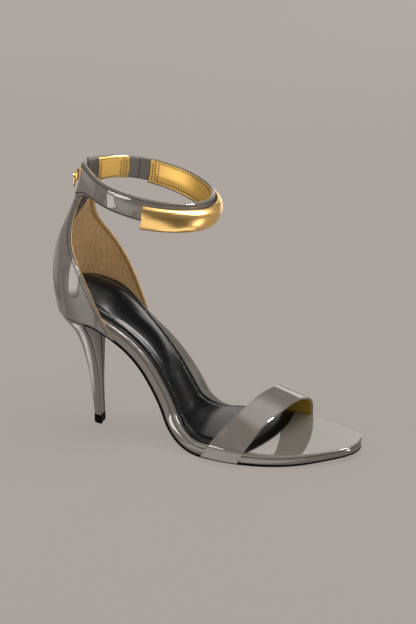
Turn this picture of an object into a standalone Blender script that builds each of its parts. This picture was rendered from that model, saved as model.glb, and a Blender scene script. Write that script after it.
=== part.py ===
"""Ankle strap sandal, right shoe, standing on its stiletto heel and its forefoot.

X runs to the toe, Y to the inner (medial) side, Z up; the origin is the middle of the heel tip's
walking face. Tables are in millimetres and degrees, and the model is in metres.
"""
import math

import bmesh
import bpy
import numpy as np
from mathutils import Matrix, Vector

MM = 0.001
GAP = 0.3
MERGE = 1e-6
SHARP_ANGLE = 40.0

# Stretches of the sole's profile from the seat's back to the toe: name, length, slope at its end, columns
SOLE_PROFILE = (
    ("seat", 22.5, -6.0, 6),
    ("seat_bend", 10.0, -31.0, 3),
    ("arch", 21.0, -44.0, 3),
    ("shank", 24.0, -60.0, 3),
    ("lower_shank", 29.0, -66.0, 3),
    ("ball_bend", 34.0, 0.0, 7),
    ("tread", 37.0, 0.0, 3),
    ("toe_spring", 61.5, 5.8, 10),
)
SOLE_ROWS = 8
SEAT_SLOPE = -6.0
SEAT_BACK_X = -23.8
SOLE_LENGTH = sum(stretch[1] for stretch in SOLE_PROFILE)

# Half widths of the sole along its profile: station, lateral, medial
SOLE_WIDTHS = (
    (23.5, 23.5, 23.5),
    (50.0, 21.5, 23.5),
    (78.0, 20.0, 24.0),
    (106.0, 22.5, 25.0),
    (126.0, 30.0, 27.5),
    (146.0, 36.0, 30.5),
    (168.0, 38.5, 32.5),
    (190.0, 36.0, 32.0),
    (210.0, 28.5, 27.0),
    (226.0, 18.5, 18.5),
)
HEEL_RADIUS = 23.5
TOE_RADIUS = 17.0

# The medial side bends further forward at the ball, its arch stands up, and all layers thin out to the toe
BALL_SKEW = 7.0
SKEW_FROM = 36.0
SKEW_TO = 200.0
ARCH_RAISE = 2.0
ARCH_FROM = 36.0
ARCH_TO = 140.0
TOE_TAPER = 0.6
TAPER_FROM = 160.0

# The board thickens to a wedge under the heel, which reaches further forward on the medial side
WEDGE_HEIGHT = 10.0
WEDGE_REACH = 46.0
WEDGE_TWIST = 16.0

# Layers of the sole, measured up from the seam under the midsole: bottom, thickness, growth of the outline,
# share of the wedge that lies under the bottom and under the top
OUTSOLE_LAYER = (-2.0, 1.7, -0.5, 0.0, 0.0)
MIDSOLE_LAYER = (0.0, 4.9, 0.0, 0.0, 0.0)
BOARD_LAYER = (5.2, 2.4, 0.3, 0.0, 1.0)
INSOLE_LAYER = (7.95, 1.8, -2.2, 1.0, 1.0)
INSOLE_FRONT_X = 126.0
INSOLE_FRONT_Y = 20.0
INSOLE_FRONT_BOW = 200.0
INSOLE_CUT_END_X = 230.0
INSOLE_CUT_HALF_WIDTH = 50.0
INSOLE_CUT_FLOOR = -5.0
INSOLE_CUT_HEIGHT = 60.0
INSOLE_CUT_STEPS = 16
BREAST_CUT_SIZE = (60.0, 80.0, 60.0)
BREAST_CUT_LEVEL = 80.0

# D-shaped sections of the heel: height, back x, breast x, half width
HEEL_SECTIONS = (
    (6.3, -3.8, 2.5, 4.1),
    (28.0, -5.7, 1.8, 5.0),
    (37.0, -7.0, 1.6, 6.4),
    (45.0, -8.5, 1.3, 8.4),
    (53.0, -10.5, 0.9, 10.8),
    (62.0, -13.0, 0.2, 14.6),
    (71.0, -17.4, -0.8, 19.4),
    (79.0, -23.2, -2.0, 24.4),
    (90.0, -26.2, -2.0, 25.8),
)
HEEL_TIP_HEIGHT = 6.0
HEEL_CORNER = 0.8
HEEL_MESH = (20, 14)
SEAT_GAP = 0.7
SEAT_CUT_FROM = -30.0
SEAT_CUT_TO = 70.0
SEAT_CUT_HALF_WIDTH = 45.0
SEAT_CUT_HEIGHT = 40.0
SEAT_CUT_STEPS = 20

# Rows of the counter from the seam to the strap: height at the back, back x, half width,
# share of the sole's drop, front edge angles on the lateral and the medial side, share by which the sides
# are drawn in towards the back seam, where the two halves of the strap meet in a point
COUNTER_ROWS = (
    (83.4, -24.2, 25.0, 1.00, 89.5, 107.0, 0.00),
    (88.0, -25.2, 25.6, 0.95, 86.5, 107.0, 0.00),
    (96.0, -26.6, 26.4, 0.85, 81.0, 104.0, 0.00),
    (107.0, -27.3, 27.0, 0.70, 74.0, 97.0, 0.00),
    (119.0, -26.4, 27.2, 0.55, 64.0, 84.0, 0.00),
    (131.0, -23.6, 27.4, 0.40, 49.5, 64.5, 0.00),
    (141.0, -19.6, 27.8, 0.30, 37.0, 47.0, 0.00),
    (150.0, -15.5, 28.4, 0.20, 28.5, 37.0, 0.05),
    (161.0, -11.5, 29.6, 0.10, 26.0, 33.0, 0.28),
    (174.0, -8.3, 31.2, 0.00, 28.0, 35.0, 0.64),
    (188.0, -8.0, 31.8, 0.00, 28.0, 35.0, 0.72),
)
COUNTER_TOP = 178.0
COUNTER_WALL = 1.7
COUNTER_MESH = (24, 18)
LAST_CLEARANCE = 1.0
HEEL_EDGE_SHIFT = 0.6
LOOP_HALF_LENGTH = 42.0
LOOP_TILT = 0.2
PINCH_POWER = 3.5

# Ankle strap around the loop: angle from the back, height of the band
STRAP_BAND = (
    (0.0, 26.0),
    (18.0, 23.0),
    (36.0, 18.0),
    (60.0, 16.0),
    (110.0, 16.0),
    (180.0, 17.0),
)
STRAP_TOP = 184.5
STRAP_WALL = 2.5
STRAP_STEP = 0.4
STRAP_MESH = (64, 3)
GORE_FROM = 62.0
GORE_TO = 80.0
GORE_WALL = 1.5
GORE_MARGIN = 0.6
GORE_LOW_SHARE = 0.04
GORE_HIGH_SHARE = 0.96
GORE_MESH = (4, 3)

# Cuff plate along the strap: turn from the back by the lateral side, height, drop below the strap's top,
# stand-off from the strap, dome
CUFF_STATIONS = (
    (100.0, 16.2, 4.8, 0.4, 3.0),
    (125.0, 14.4, 4.3, 0.6, 3.4),
    (150.0, 13.0, 4.0, 1.0, 3.8),
    (180.0, 12.2, 3.7, 1.5, 3.8),
    (205.0, 11.0, 3.5, 1.1, 3.4),
    (228.0, 9.5, 3.5, 0.8, 3.0),
)
CUFF_MESH = (16, 26)

# Toe strap from the lateral to the medial side: y, rear and front height, rear and front x
TOE_STRAP_ROWS = (
    (-38.8, 2.3, 2.3, 80.3, 105.5),
    (-38.8, 10.2, 9.8, 85.6, 109.8),
    (-34.0, 18.0, 14.5, 91.0, 113.5),
    (-25.5, 26.0, 20.9, 98.5, 118.2),
    (-14.0, 31.8, 25.6, 106.0, 125.0),
    (0.0, 34.2, 27.5, 111.0, 130.3),
    (11.0, 34.0, 27.1, 115.5, 134.7),
    (21.0, 30.5, 23.5, 117.0, 137.0),
    (29.0, 23.0, 18.0, 117.0, 138.0),
    (33.0, 10.4, 9.8, 116.0, 137.5),
    (33.0, 2.3, 2.3, 115.0, 137.0),
)
TOE_STRAP_WALL = 1.9
TOE_STRAP_CLEARANCE = 1.0
TOE_STRAP_HUG = 4
TOE_STRAP_MESH = (5, 30)

# Back zip: half width of its slot and the heights of its foot and head, then tape, teeth, slider and pull
ZIP_SLOT = 3.6
ZIP_FOOT = 126.0
ZIP_HEAD = 182.0
ZIP_TAPE_INSET = 0.2
ZIP_TAPE_WALL = 0.7
ZIP_TEETH_HALF = 2.2
ZIP_TEETH_WALL = 0.9
ZIP_TOOTH_PITCH = 2.4
ZIP_TOOTH_NOTCH = 0.8
ZIP_TAPE_MESH = (2, 24)
ZIP_SLOT_DEPTH = 50.0
ZIP_SLOT_TOP = 205.0
SLIDER_HEIGHT = 173.5
SLIDER_SIZE = (1.0, 6.4, 9.0)
LUG_SIZE = (2.8, 1.0, 2.0)
LUG_NOSE = 0.9
PIN_RADIUS = 0.45
PIN_STAND = 1.5
PIN_SIDES = 16
PULL_LENGTH = 9.8
PULL_WIDTH = 2.4
PULL_TAB_WIDTH = 3.0
PULL_THICKNESS = 0.9
EYE_RADIUS = 1.15
EYE_HOLE = 0.7

PATENT_GREY = (0.266, 0.246, 0.230)
BLACK_LEATHER = (0.013, 0.015, 0.017)
BLACK_RUBBER = (0.004, 0.004, 0.004)
GOLD = (0.60, 0.36, 0.10)
GREY_TEXTILE = (0.150, 0.138, 0.130)

# Finish of each piece: material, colour, roughness, metallic
FINISHES = {
    "outsole": ("black_rubber", BLACK_RUBBER, 0.5, 0.0),
    "midsole": ("grey_patent_midsole", PATENT_GREY, 0.08, 0.0),
    "insole_board": ("grey_patent_board", PATENT_GREY, 0.08, 0.0),
    "insole": ("black_sock_leather", BLACK_LEATHER, 0.3, 0.0),
    "heel": ("grey_patent_heel", PATENT_GREY, 0.08, 0.0),
    "heel_tip": ("black_tip_rubber", BLACK_RUBBER, 0.45, 0.0),
    "upper": ("grey_patent_leather", PATENT_GREY, 0.08, 0.0),
    "strap_gore": ("grey_elastic", GREY_TEXTILE, 0.7, 0.0),
    "cuff_plate": ("polished_gold_plate", GOLD, 0.15, 1.0),
    "toe_strap": ("grey_patent_strap", PATENT_GREY, 0.08, 0.0),
    "zip_tape": ("grey_zip_tape", GREY_TEXTILE, 0.8, 0.0),
    "zip_teeth": ("gold_zip_teeth", GOLD, 0.25, 1.0),
    "zip_slider": ("gold_zip_slider", GOLD, 0.2, 1.0),
    "zip_pull": ("gold_zip_pull", GOLD, 0.2, 1.0),
}


def smooth_column(rows, column):
    """A natural cubic through one column of a table, whose first column is where each row stands."""
    where = np.array([row[0] for row in rows], float)
    value = np.array([row[column] for row in rows], float)
    count = len(where)
    step = np.diff(where)
    matrix = np.eye(count)
    bend = np.zeros(count)
    for i in range(1, count - 1):
        matrix[i, i - 1:i + 2] = step[i - 1], 2.0 * (step[i - 1] + step[i]), step[i]
        bend[i] = 6.0 * ((value[i + 1] - value[i]) / step[i] - (value[i] - value[i - 1]) / step[i - 1])
    moment = np.linalg.solve(matrix, bend)

    def at(x):
        i = int(np.clip(np.searchsorted(where, x) - 1, 0, count - 2))
        left = where[i + 1] - x
        right = x - where[i]
        cubic = (moment[i] * left ** 3 + moment[i + 1] * right ** 3) / (6.0 * step[i])
        lower = (value[i] / step[i] - moment[i] * step[i] / 6.0) * left
        upper = (value[i + 1] / step[i] - moment[i + 1] * step[i] / 6.0) * right
        return float(cubic + lower + upper)

    return at


def profile_walk(station):
    """Place and slope on the sole's profile, a chain of arcs, before it is set on the floor."""
    x, z = 0.0, 0.0
    slope = math.radians(SEAT_SLOPE)
    for _, length, end_slope, _ in SOLE_PROFILE:
        step = min(station, length)
        turn = (math.radians(end_slope) - slope) * step / length
        chord = step if abs(turn) < MERGE else step * math.sin(turn / 2.0) / (turn / 2.0)
        x += chord * math.cos(slope + turn / 2.0)
        z += chord * math.sin(slope + turn / 2.0)
        slope += turn
        station -= step
        if station <= 0.0:
            break
    return x, z, slope


STRETCHES = [stretch[0] for stretch in SOLE_PROFILE]
TREAD_START = sum(stretch[1] for stretch in SOLE_PROFILE[:STRETCHES.index("tread")])
FLOOR_SHIFT = -OUTSOLE_LAYER[0] - profile_walk(TREAD_START)[1]


def sole_point(station, lift):
    """Point (x, z) at a distance along the sole and a height over the seam under the midsole."""
    x, z, slope = profile_walk(station)
    return SEAT_BACK_X + x - lift * math.sin(slope), FLOOR_SHIFT + z + lift * math.cos(slope)


def end_rounding(station):
    share = 2.0 * station / SOLE_LENGTH - 1.0
    return math.sqrt(max(1.0 - share * share, 0.0))


def unrounded_width(column):
    rows = [(0.0, math.sqrt(HEEL_RADIUS * SOLE_LENGTH / 2.0))]
    rows += [(row[0], row[column] / end_rounding(row[0])) for row in SOLE_WIDTHS]
    rows += [(SOLE_LENGTH, math.sqrt(TOE_RADIUS * SOLE_LENGTH / 2.0))]
    return smooth_column(rows, 1)


SOLE_LATERAL = unrounded_width(1)
SOLE_MEDIAL = unrounded_width(2)


def sole_width(station, side):
    """Half width of the sole on one side, rounded off at the heel and the toe."""
    width = SOLE_LATERAL if side < 0.0 else SOLE_MEDIAL
    return width(station) * end_rounding(station)


def station_at(x):
    """Distance along the sole at which its seam passes a given x."""
    low, high = -SOLE_LENGTH, SOLE_LENGTH
    while high - low > MERGE:
        middle = (low + high) / 2.0
        if sole_point(middle, 0.0)[0] < x:
            low = middle
        else:
            high = middle
    return low


def share_between(station, start, end):
    return min(max((station - start) / (end - start), 0.0), 1.0)


def medial_swell(station, start, end, across):
    """A swell of height 1 between two stations, growing from the middle of the sole to its medial edge."""
    return math.sin(math.pi * share_between(station, start, end)) ** 2 * max(across, 0.0) ** 2


def layer_lift(station, across, lift):
    """Height of a layer over the seam: it follows the raised arch and thins out to the toe."""
    taper = (1.0 - TOE_TAPER) * share_between(station, TAPER_FROM, SOLE_LENGTH)
    return lift * (1.0 - taper) + ARCH_RAISE * medial_swell(station, ARCH_FROM, ARCH_TO, across)


def heel_wedge(station, across):
    """Height of the wedge under the heel."""
    share = min(station / (WEDGE_REACH + WEDGE_TWIST * across), 1.0)
    return WEDGE_HEIGHT * math.cos(math.pi / 2.0 * share) ** 2


def sole_stations():
    """Stations of the sole's columns: even along each stretch, closer together towards the two ends."""
    stations = [0.0]
    start = 0.0
    for name, length, _, columns in SOLE_PROFILE:
        for column in range(1, columns + 1):
            share = column / columns
            if name == "seat":
                share = 1.0 - math.cos(math.pi / 2.0 * share)
            elif name == "toe_spring":
                share = math.sin(math.pi / 2.0 * share)
            stations.append(start + length * share)
        start += length
    return stations


STATIONS = sole_stations()


def sole_place(p, q, lift, grow, wedge):
    """Place of a grid point of a sole layer whose outline is grown or drawn in all round."""
    station = STATIONS[round((p + 1.0) / 2.0 * (len(STATIONS) - 1))]
    width = sole_width(station, q)
    heel_end = max(1.0 - station / HEEL_RADIUS, 0.0)
    toe_end = max(1.0 - (SOLE_LENGTH - station) / TOE_RADIUS, 0.0)
    end = toe_end - heel_end
    y = q * max(width + grow * math.sqrt(1.0 - end * end), 0.0)
    inner = y / max(width, 1.0)
    raised = layer_lift(station, inner, lift) + wedge * heel_wedge(station, inner)
    x, z = sole_point(station + grow * end, raised)
    return x + BALL_SKEW * medial_swell(station, SKEW_FROM, SKEW_TO, inner), y, z


COUNTER_COLUMNS = {
    name: smooth_column(COUNTER_ROWS, column)
    for column, name in enumerate(("height", "back", "half_width", "drop", "lateral", "medial", "pinch"))
    if column > 0
}
STRAP_HEIGHT = smooth_column(STRAP_BAND, 1)


def upper_place(angle, height, inset=0.0):
    """Point of the upper's inner face: angle from the back seam (negative is lateral), height at the back."""
    turn = math.radians(angle)
    bottom, top = COUNTER_ROWS[0][0], COUNTER_ROWS[-1][0]
    row = min(max(height, bottom), top)
    forward = LOOP_HALF_LENGTH * (1.0 - math.cos(turn))
    back = COUNTER_COLUMNS["back"](row)
    drop_share = COUNTER_COLUMNS["drop"](row)
    pinch = max(COUNTER_COLUMNS["pinch"](row), 0.0) * max(math.cos(turn), 0.0) ** PINCH_POWER
    y = COUNTER_COLUMNS["half_width"](row) * math.sin(turn) * (1.0 - pinch)
    station = 0.0
    if drop_share > 0.0:
        station = station_at(COUNTER_ROWS[0][1] + forward + HEEL_EDGE_SHIFT)
        last = math.copysign(sole_width(station, angle) + LAST_CLEARANCE, turn)
        if abs(turn) < MERGE:
            last = 0.0
        y += (last - y) * drop_share
    sole_drop = sole_point(0.0, 0.0)[1] - sole_point(station, 0.0)[1]
    z = height - drop_share * sole_drop - (1.0 - drop_share) * LOOP_TILT * forward
    inward = Vector((math.cos(turn) * inset, -math.sin(turn) * inset, 0.0))
    return Vector((back + forward, y, z)) + inward


def clear_scene():
    for old in list(bpy.data.objects):
        bpy.data.objects.remove(old, do_unlink=True)


def collection(name):
    group = bpy.data.collections.new(name)
    bpy.context.scene.collection.children.link(group)
    return group


def finish(piece):
    name, colour, roughness, metallic = FINISHES[piece]
    material = bpy.data.materials.new(name)
    material.use_nodes = True
    shader = material.node_tree.nodes["Principled BSDF"]
    shader.inputs["Base Color"].default_value = (*colour, 1.0)
    shader.inputs["Roughness"].default_value = roughness
    shader.inputs["Metallic"].default_value = metallic
    return material


def add_object(name, bm, group):
    mesh = bpy.data.meshes.new(name)
    bm.to_mesh(mesh)
    bm.free()
    mesh.shade_smooth()
    mesh.set_sharp_from_angle(angle=math.radians(SHARP_ANGLE))
    thing = bpy.data.objects.new(name, mesh)
    group.objects.link(thing)
    return thing


def add_piece(name, bm, parts):
    piece = add_object(name, bm, parts)
    piece.data.materials.append(finish(name))
    return piece


def add_cutter(name, bm, group):
    cutter = add_object(name, bm, group)
    cutter.hide_render = True
    cutter.display_type = "WIRE"
    return cutter


def grid(columns, rows, place):
    """A grid whose points, p and q from -1 to 1, are set by a function in millimetres."""
    bm = bmesh.new()
    bmesh.ops.create_grid(bm, x_segments=columns, y_segments=rows, size=1.0)
    for vert in bm.verts:
        vert.co = Vector(place(vert.co.x, vert.co.y)) * MM
    return bm


def tube(columns, rows, place):
    """A grid whose first and last columns meet, closed by a cap at each end."""
    bm = grid(columns, rows, place)
    bmesh.ops.remove_doubles(bm, verts=bm.verts, dist=MERGE)
    bmesh.ops.holes_fill(bm, edges=[edge for edge in bm.edges if edge.is_boundary])
    bmesh.ops.recalc_face_normals(bm, faces=bm.faces)
    return bm


def solidify(thing, thickness, outward):
    wall = thing.modifiers.new("wall", "SOLIDIFY")
    wall.thickness = thickness * MM
    wall.offset = 1.0 if outward else -1.0
    wall.use_even_offset = True


def boolean(thing, other, operation):
    cut = thing.modifiers.new(operation.lower(), "BOOLEAN")
    cut.operation = operation
    cut.object = other


def box(size, centre):
    bm = bmesh.new()
    bmesh.ops.create_cube(bm, size=1.0)
    bmesh.ops.scale(bm, vec=Vector(size) * MM, verts=bm.verts)
    bmesh.ops.translate(bm, vec=Vector(centre) * MM, verts=bm.verts)
    return bm


def slab(columns, rows, place):
    """A flat slab of a grid, each point of its lower (h 0) and upper face (h 1) set by a function."""
    bm = bmesh.new()
    bmesh.ops.create_grid(bm, x_segments=columns, y_segments=rows, size=1.0)
    raised = bmesh.ops.extrude_face_region(bm, geom=bm.faces[:])["geom"]
    for item in raised:
        if isinstance(item, bmesh.types.BMVert):
            item.co.z = 1.0
    for vert in bm.verts:
        vert.co = Vector(place(vert.co.x, vert.co.y, vert.co.z)) * MM
    bmesh.ops.remove_doubles(bm, verts=bm.verts, dist=MERGE)
    bmesh.ops.recalc_face_normals(bm, faces=bm.faces)
    return bm


def sole_layer(name, layer, parts):
    """A layer of the sole, laid on the profile over the whole outline."""
    bottom, thickness, grow, wedge_under, wedge_over = layer

    def place(p, q, h):
        return sole_place(p, q, bottom + thickness * h, grow, wedge_under + (wedge_over - wedge_under) * h)

    return add_piece(name, slab(len(STATIONS) - 1, SOLE_ROWS, place), parts)


def make_outsole(parts, cutters):
    """The thin outsole runs from the heel breast to the toe; the seat stands on the heel itself."""
    outsole = sole_layer("outsole", OUTSOLE_LAYER, parts)
    breast = HEEL_SECTIONS[-1][2] + GAP
    centre = (breast - BREAST_CUT_SIZE[0] / 2.0, 0.0, BREAST_CUT_LEVEL)
    behind = add_cutter("behind_breast", box(BREAST_CUT_SIZE, centre), cutters)
    boolean(outsole, behind, "DIFFERENCE")


def make_insole(parts, cutters):
    """The padded sock stops short of the toe along a bowed front edge."""
    insole = sole_layer("insole", INSOLE_LAYER, parts)

    def front(p, q):
        y = INSOLE_CUT_HALF_WIDTH * q
        edge = INSOLE_FRONT_X - (y - INSOLE_FRONT_Y) ** 2 / INSOLE_FRONT_BOW
        return (edge if p < 0.0 else INSOLE_CUT_END_X), y, INSOLE_CUT_FLOOR

    cutter = add_cutter("insole_front", grid(1, INSOLE_CUT_STEPS, front), cutters)
    solidify(cutter, INSOLE_CUT_HEIGHT, True)
    boolean(insole, cutter, "DIFFERENCE")


def heel_ring(p, height):
    """Point of the heel's section: round at the back, flat across the breast."""
    back, breast, half = (smooth_column(HEEL_SECTIONS, column)(height) for column in (1, 2, 3))
    share = min(abs(p) / HEEL_CORNER, 1.0) * math.pi / 2.0
    y = half * math.sin(share)
    if abs(p) > HEEL_CORNER:
        y = half * (1.0 - abs(p)) / (1.0 - HEEL_CORNER)
    return breast - (breast - back) * math.cos(share), math.copysign(y, p), height


def make_heel(parts, cutters):
    """The heel flares from its slim foot to the seat, where the sole's profile cuts it off."""
    low, high = HEEL_SECTIONS[0][0], HEEL_SECTIONS[-1][0]

    def side(p, q):
        return heel_ring(p, low + (high - low) * (q + 1.0) / 2.0)

    def seat(p, q):
        station = SEAT_CUT_FROM + (SEAT_CUT_TO - SEAT_CUT_FROM) * (p + 1.0) / 2.0
        x, z = sole_point(station, -SEAT_GAP)
        return x, SEAT_CUT_HALF_WIDTH * q, z

    heel = add_piece("heel", tube(*HEEL_MESH, side), parts)
    cutter = add_cutter("seat_cut", grid(SEAT_CUT_STEPS, 1, seat), cutters)
    solidify(cutter, SEAT_CUT_HEIGHT, True)
    boolean(heel, cutter, "DIFFERENCE")


def make_heel_tip(parts):
    """Walking tip under the heel, with the section of the heel's foot."""
    def ring(p, q):
        x, y, _ = heel_ring(p, HEEL_SECTIONS[0][0])
        return x, y, HEEL_TIP_HEIGHT * (q + 1.0) / 2.0

    add_piece("heel_tip", tube(HEEL_MESH[0], 1, ring), parts)


def strap_place(angle, share, inset):
    """Point of the strap's inner face, from its lower edge (share 0) to its upper edge (share 1)."""
    height = STRAP_HEIGHT(min(abs(angle), 360.0 - abs(angle)))
    return upper_place(angle, STRAP_TOP - height * (1.0 - share), inset)


def make_upper(parts, cutters):
    """Closed counter and ankle strap in one wall, slit down the back for the zip and open at the gore."""
    bottom = COUNTER_ROWS[0][0]

    def counter(p, q):
        height = bottom + (COUNTER_TOP - bottom) * (q + 1.0) / 2.0
        reach = COUNTER_COLUMNS["lateral" if p < 0.0 else "medial"](height)
        return upper_place(p * reach, height)

    upper = add_piece("upper", grid(*COUNTER_MESH, counter), parts)
    solidify(upper, COUNTER_WALL, False)
    turns = 360.0 - (GORE_TO - GORE_FROM)

    def strap(p, q):
        return strap_place(GORE_FROM - turns * (1.0 - p) / 2.0, (q + 1.0) / 2.0, STRAP_STEP)

    band = add_cutter("strap_band", grid(*STRAP_MESH, strap), cutters)
    solidify(band, STRAP_WALL, False)
    boolean(upper, band, "UNION")
    slot_size = (ZIP_SLOT_DEPTH, 2.0 * ZIP_SLOT, ZIP_SLOT_TOP - ZIP_FOOT)
    slot = box(slot_size, (-ZIP_SLOT_DEPTH / 2.0, 0.0, (ZIP_SLOT_TOP + ZIP_FOOT) / 2.0))
    boolean(upper, add_cutter("zip_slot", slot, cutters), "DIFFERENCE")


def make_gore(parts):
    """Short elastic piece that closes the strap on the medial side."""
    middle = (GORE_FROM + GORE_TO) / 2.0
    half = (GORE_TO - GORE_FROM) / 2.0 - GORE_MARGIN

    def gore(p, q):
        share = GORE_LOW_SHARE + (GORE_HIGH_SHARE - GORE_LOW_SHARE) * (q + 1.0) / 2.0
        return strap_place(middle + half * p, share, 0.0)

    solidify(add_piece("strap_gore", grid(*GORE_MESH, gore), parts), GORE_WALL, False)


def make_cuff(parts):
    """Domed metal plate lying over the outside of the strap, a D-section swept along it."""
    first, last = CUFF_STATIONS[0][0], CUFF_STATIONS[-1][0]
    height, drop, stand, dome = (smooth_column(CUFF_STATIONS, column) for column in (1, 2, 3, 4))

    def place(p, q):
        turn = first + (last - first) * (q + 1.0) / 2.0
        section = math.pi * p
        out = max(math.sin(section), 0.0) * dome(turn)
        level = STRAP_TOP - drop(turn) - height(turn) * (1.0 - math.cos(section)) / 2.0
        gap = STRAP_WALL - STRAP_STEP + GAP + stand(turn)
        return upper_place(-turn, level, -gap - out)

    add_piece("cuff_plate", tube(*CUFF_MESH, place), parts)


def make_toe_strap(parts):
    """Wide diagonal strap over the toes; its ends run down the outside of the sole's edge."""
    rows = [(float(i), *row) for i, row in enumerate(TOE_STRAP_ROWS)]
    y_at, rear_z, front_z, rear_x, front_x = (smooth_column(rows, column) for column in (1, 2, 3, 4, 5))
    last = len(rows) - 1
    lateral_foot, medial_foot = -TOE_STRAP_ROWS[0][0], TOE_STRAP_ROWS[-1][0]

    def place(p, q):
        step = last * (q + 1.0) / 2.0
        share = (p + 1.0) / 2.0
        x = rear_x(step) + (front_x(step) - rear_x(step)) * share
        z = rear_z(step) + (front_z(step) - rear_z(step)) * share
        y = min(max(y_at(step), -lateral_foot), medial_foot)
        foot = lateral_foot if y < 0.0 else medial_foot
        edge = sole_width(station_at(x), y) + TOE_STRAP_CLEARANCE
        return x, y + math.copysign(1.0, y) * (edge - foot) * (abs(y) / foot) ** TOE_STRAP_HUG, z

    solidify(add_piece("toe_strap", grid(*TOE_STRAP_MESH, place), parts), TOE_STRAP_WALL, True)


def zip_place(across, height, depth):
    """Point on the back seam: across it, up it, and outward from the counter's inner face."""
    back = upper_place(0.0, height)
    return back.x - depth, across, back.z


def make_zip_strip(parts):
    """Tape in the back slot and the row of teeth over it."""
    foot = ZIP_FOOT + GAP
    length = ZIP_HEAD - foot
    tape_half = ZIP_SLOT - GAP

    def tape(p, q):
        return zip_place(tape_half * p, foot + length * (q + 1.0) / 2.0, ZIP_TAPE_INSET)

    solidify(add_piece("zip_tape", grid(*ZIP_TAPE_MESH, tape), parts), ZIP_TAPE_WALL, False)
    steps = 2 * int(length / ZIP_TOOTH_PITCH)
    depth = ZIP_TAPE_INSET + ZIP_TAPE_WALL + GAP

    def teeth(p, q):
        notch = ZIP_TOOTH_NOTCH if round(steps * (q + 1.0) / 2.0) % 2 else 1.0
        return zip_place(ZIP_TEETH_HALF * notch * p, foot + length * (q + 1.0) / 2.0, depth)

    solidify(add_piece("zip_teeth", grid(2, steps, teeth), parts), ZIP_TEETH_WALL, False)


def cross_pin(radius, length):
    """A round bar along Y through the origin."""
    bm = bmesh.new()
    size = {"radius1": radius * MM, "radius2": radius * MM, "depth": length * MM}
    bmesh.ops.create_cone(bm, cap_ends=True, segments=PIN_SIDES, **size)
    bmesh.ops.rotate(bm, matrix=Matrix.Rotation(math.pi / 2.0, 3, "X"), verts=bm.verts)
    return bm


def make_slider_and_pull(parts, cutters):
    """Slider on the teeth, with a cross pin between two lugs, and the pull tab that hangs on the pin."""
    low = Vector(zip_place(0.0, SLIDER_HEIGHT - SLIDER_SIZE[2] / 2.0, 0.0))
    high = Vector(zip_place(0.0, SLIDER_HEIGHT + SLIDER_SIZE[2] / 2.0, 0.0))
    lean = math.atan2(high.x - low.x, high.z - low.z)
    stand = ZIP_TAPE_INSET + ZIP_TAPE_WALL + ZIP_TEETH_WALL + 3.0 * GAP + SLIDER_SIZE[0] + PIN_STAND
    outward = Vector((-math.cos(lean), 0.0, math.sin(lean)))
    axis = ((low + high) / 2.0 + outward * stand) * MM

    def set_on_axis(thing):
        thing.location = axis
        thing.rotation_euler = (0.0, lean, 0.0)
        return thing

    body = box(SLIDER_SIZE, (PIN_STAND + SLIDER_SIZE[0] / 2.0, 0.0, 0.0))
    slider = set_on_axis(add_piece("zip_slider", body, parts))
    lug_y = PULL_WIDTH / 2.0 + GAP + LUG_SIZE[1] / 2.0
    lug_x = LUG_SIZE[0] / 2.0 - LUG_NOSE
    for side in (-1.0, 1.0):
        lug = add_cutter("slider_lug", box(LUG_SIZE, (lug_x, side * lug_y, 0.0)), cutters)
        boolean(slider, set_on_axis(lug), "UNION")
    pin = add_cutter("slider_pin", cross_pin(PIN_RADIUS, 2.0 * lug_y), cutters)
    boolean(slider, set_on_axis(pin), "UNION")
    pull = set_on_axis(add_piece("zip_pull", cross_pin(EYE_RADIUS, PULL_WIDTH), parts))
    tab_size = (PULL_THICKNESS, PULL_TAB_WIDTH, PULL_LENGTH - EYE_RADIUS)
    tab = add_cutter("pull_tab", box(tab_size, (0.0, 0.0, -(PULL_LENGTH + EYE_HOLE) / 2.0)), cutters)
    boolean(pull, set_on_axis(tab), "UNION")
    eye = add_cutter("pull_eye", cross_pin(EYE_HOLE, 2.0 * PULL_TAB_WIDTH), cutters)
    boolean(pull, set_on_axis(eye), "DIFFERENCE")


def main():
    clear_scene()
    parts = collection("ankle_strap_sandal")
    cutters = collection("cutters")
    make_outsole(parts, cutters)
    sole_layer("midsole", MIDSOLE_LAYER, parts)
    sole_layer("insole_board", BOARD_LAYER, parts)
    make_insole(parts, cutters)
    make_heel(parts, cutters)
    make_heel_tip(parts)
    make_upper(parts, cutters)
    make_gore(parts)
    make_cuff(parts)
    make_toe_strap(parts)
    make_zip_strip(parts)
    make_slider_and_pull(parts, cutters)


main()
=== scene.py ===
"""Looks of the ankle strap sandal: grey patent, gold trim and black padded sock, seen as in the photo.

The shapes repeat the part's own formulas at a finer step. Lengths are in millimetres until a mesh is made.
"""

import bisect
import math

import bmesh
import bpy
import numpy as np
from mathutils import Matrix, Vector


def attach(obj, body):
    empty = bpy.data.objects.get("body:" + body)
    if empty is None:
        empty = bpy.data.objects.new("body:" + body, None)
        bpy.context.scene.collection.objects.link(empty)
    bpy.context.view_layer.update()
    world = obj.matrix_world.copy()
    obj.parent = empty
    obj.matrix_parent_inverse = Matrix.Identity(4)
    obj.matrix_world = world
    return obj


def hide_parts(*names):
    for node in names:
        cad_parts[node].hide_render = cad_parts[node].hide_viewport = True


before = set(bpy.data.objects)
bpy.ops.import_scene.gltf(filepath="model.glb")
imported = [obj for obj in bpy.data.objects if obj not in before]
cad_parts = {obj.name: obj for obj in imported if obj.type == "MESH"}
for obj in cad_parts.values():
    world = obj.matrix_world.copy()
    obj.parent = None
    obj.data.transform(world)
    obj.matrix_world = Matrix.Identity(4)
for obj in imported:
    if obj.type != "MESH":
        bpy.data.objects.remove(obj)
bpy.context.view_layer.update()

MM = 0.001
MERGE = 1e-6
# Gap between pieces that meet
GAP = 0.3
# Sign of y and name of each side
SIDES = ((-1.0, "lateral"), (1.0, "medial"))

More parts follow.
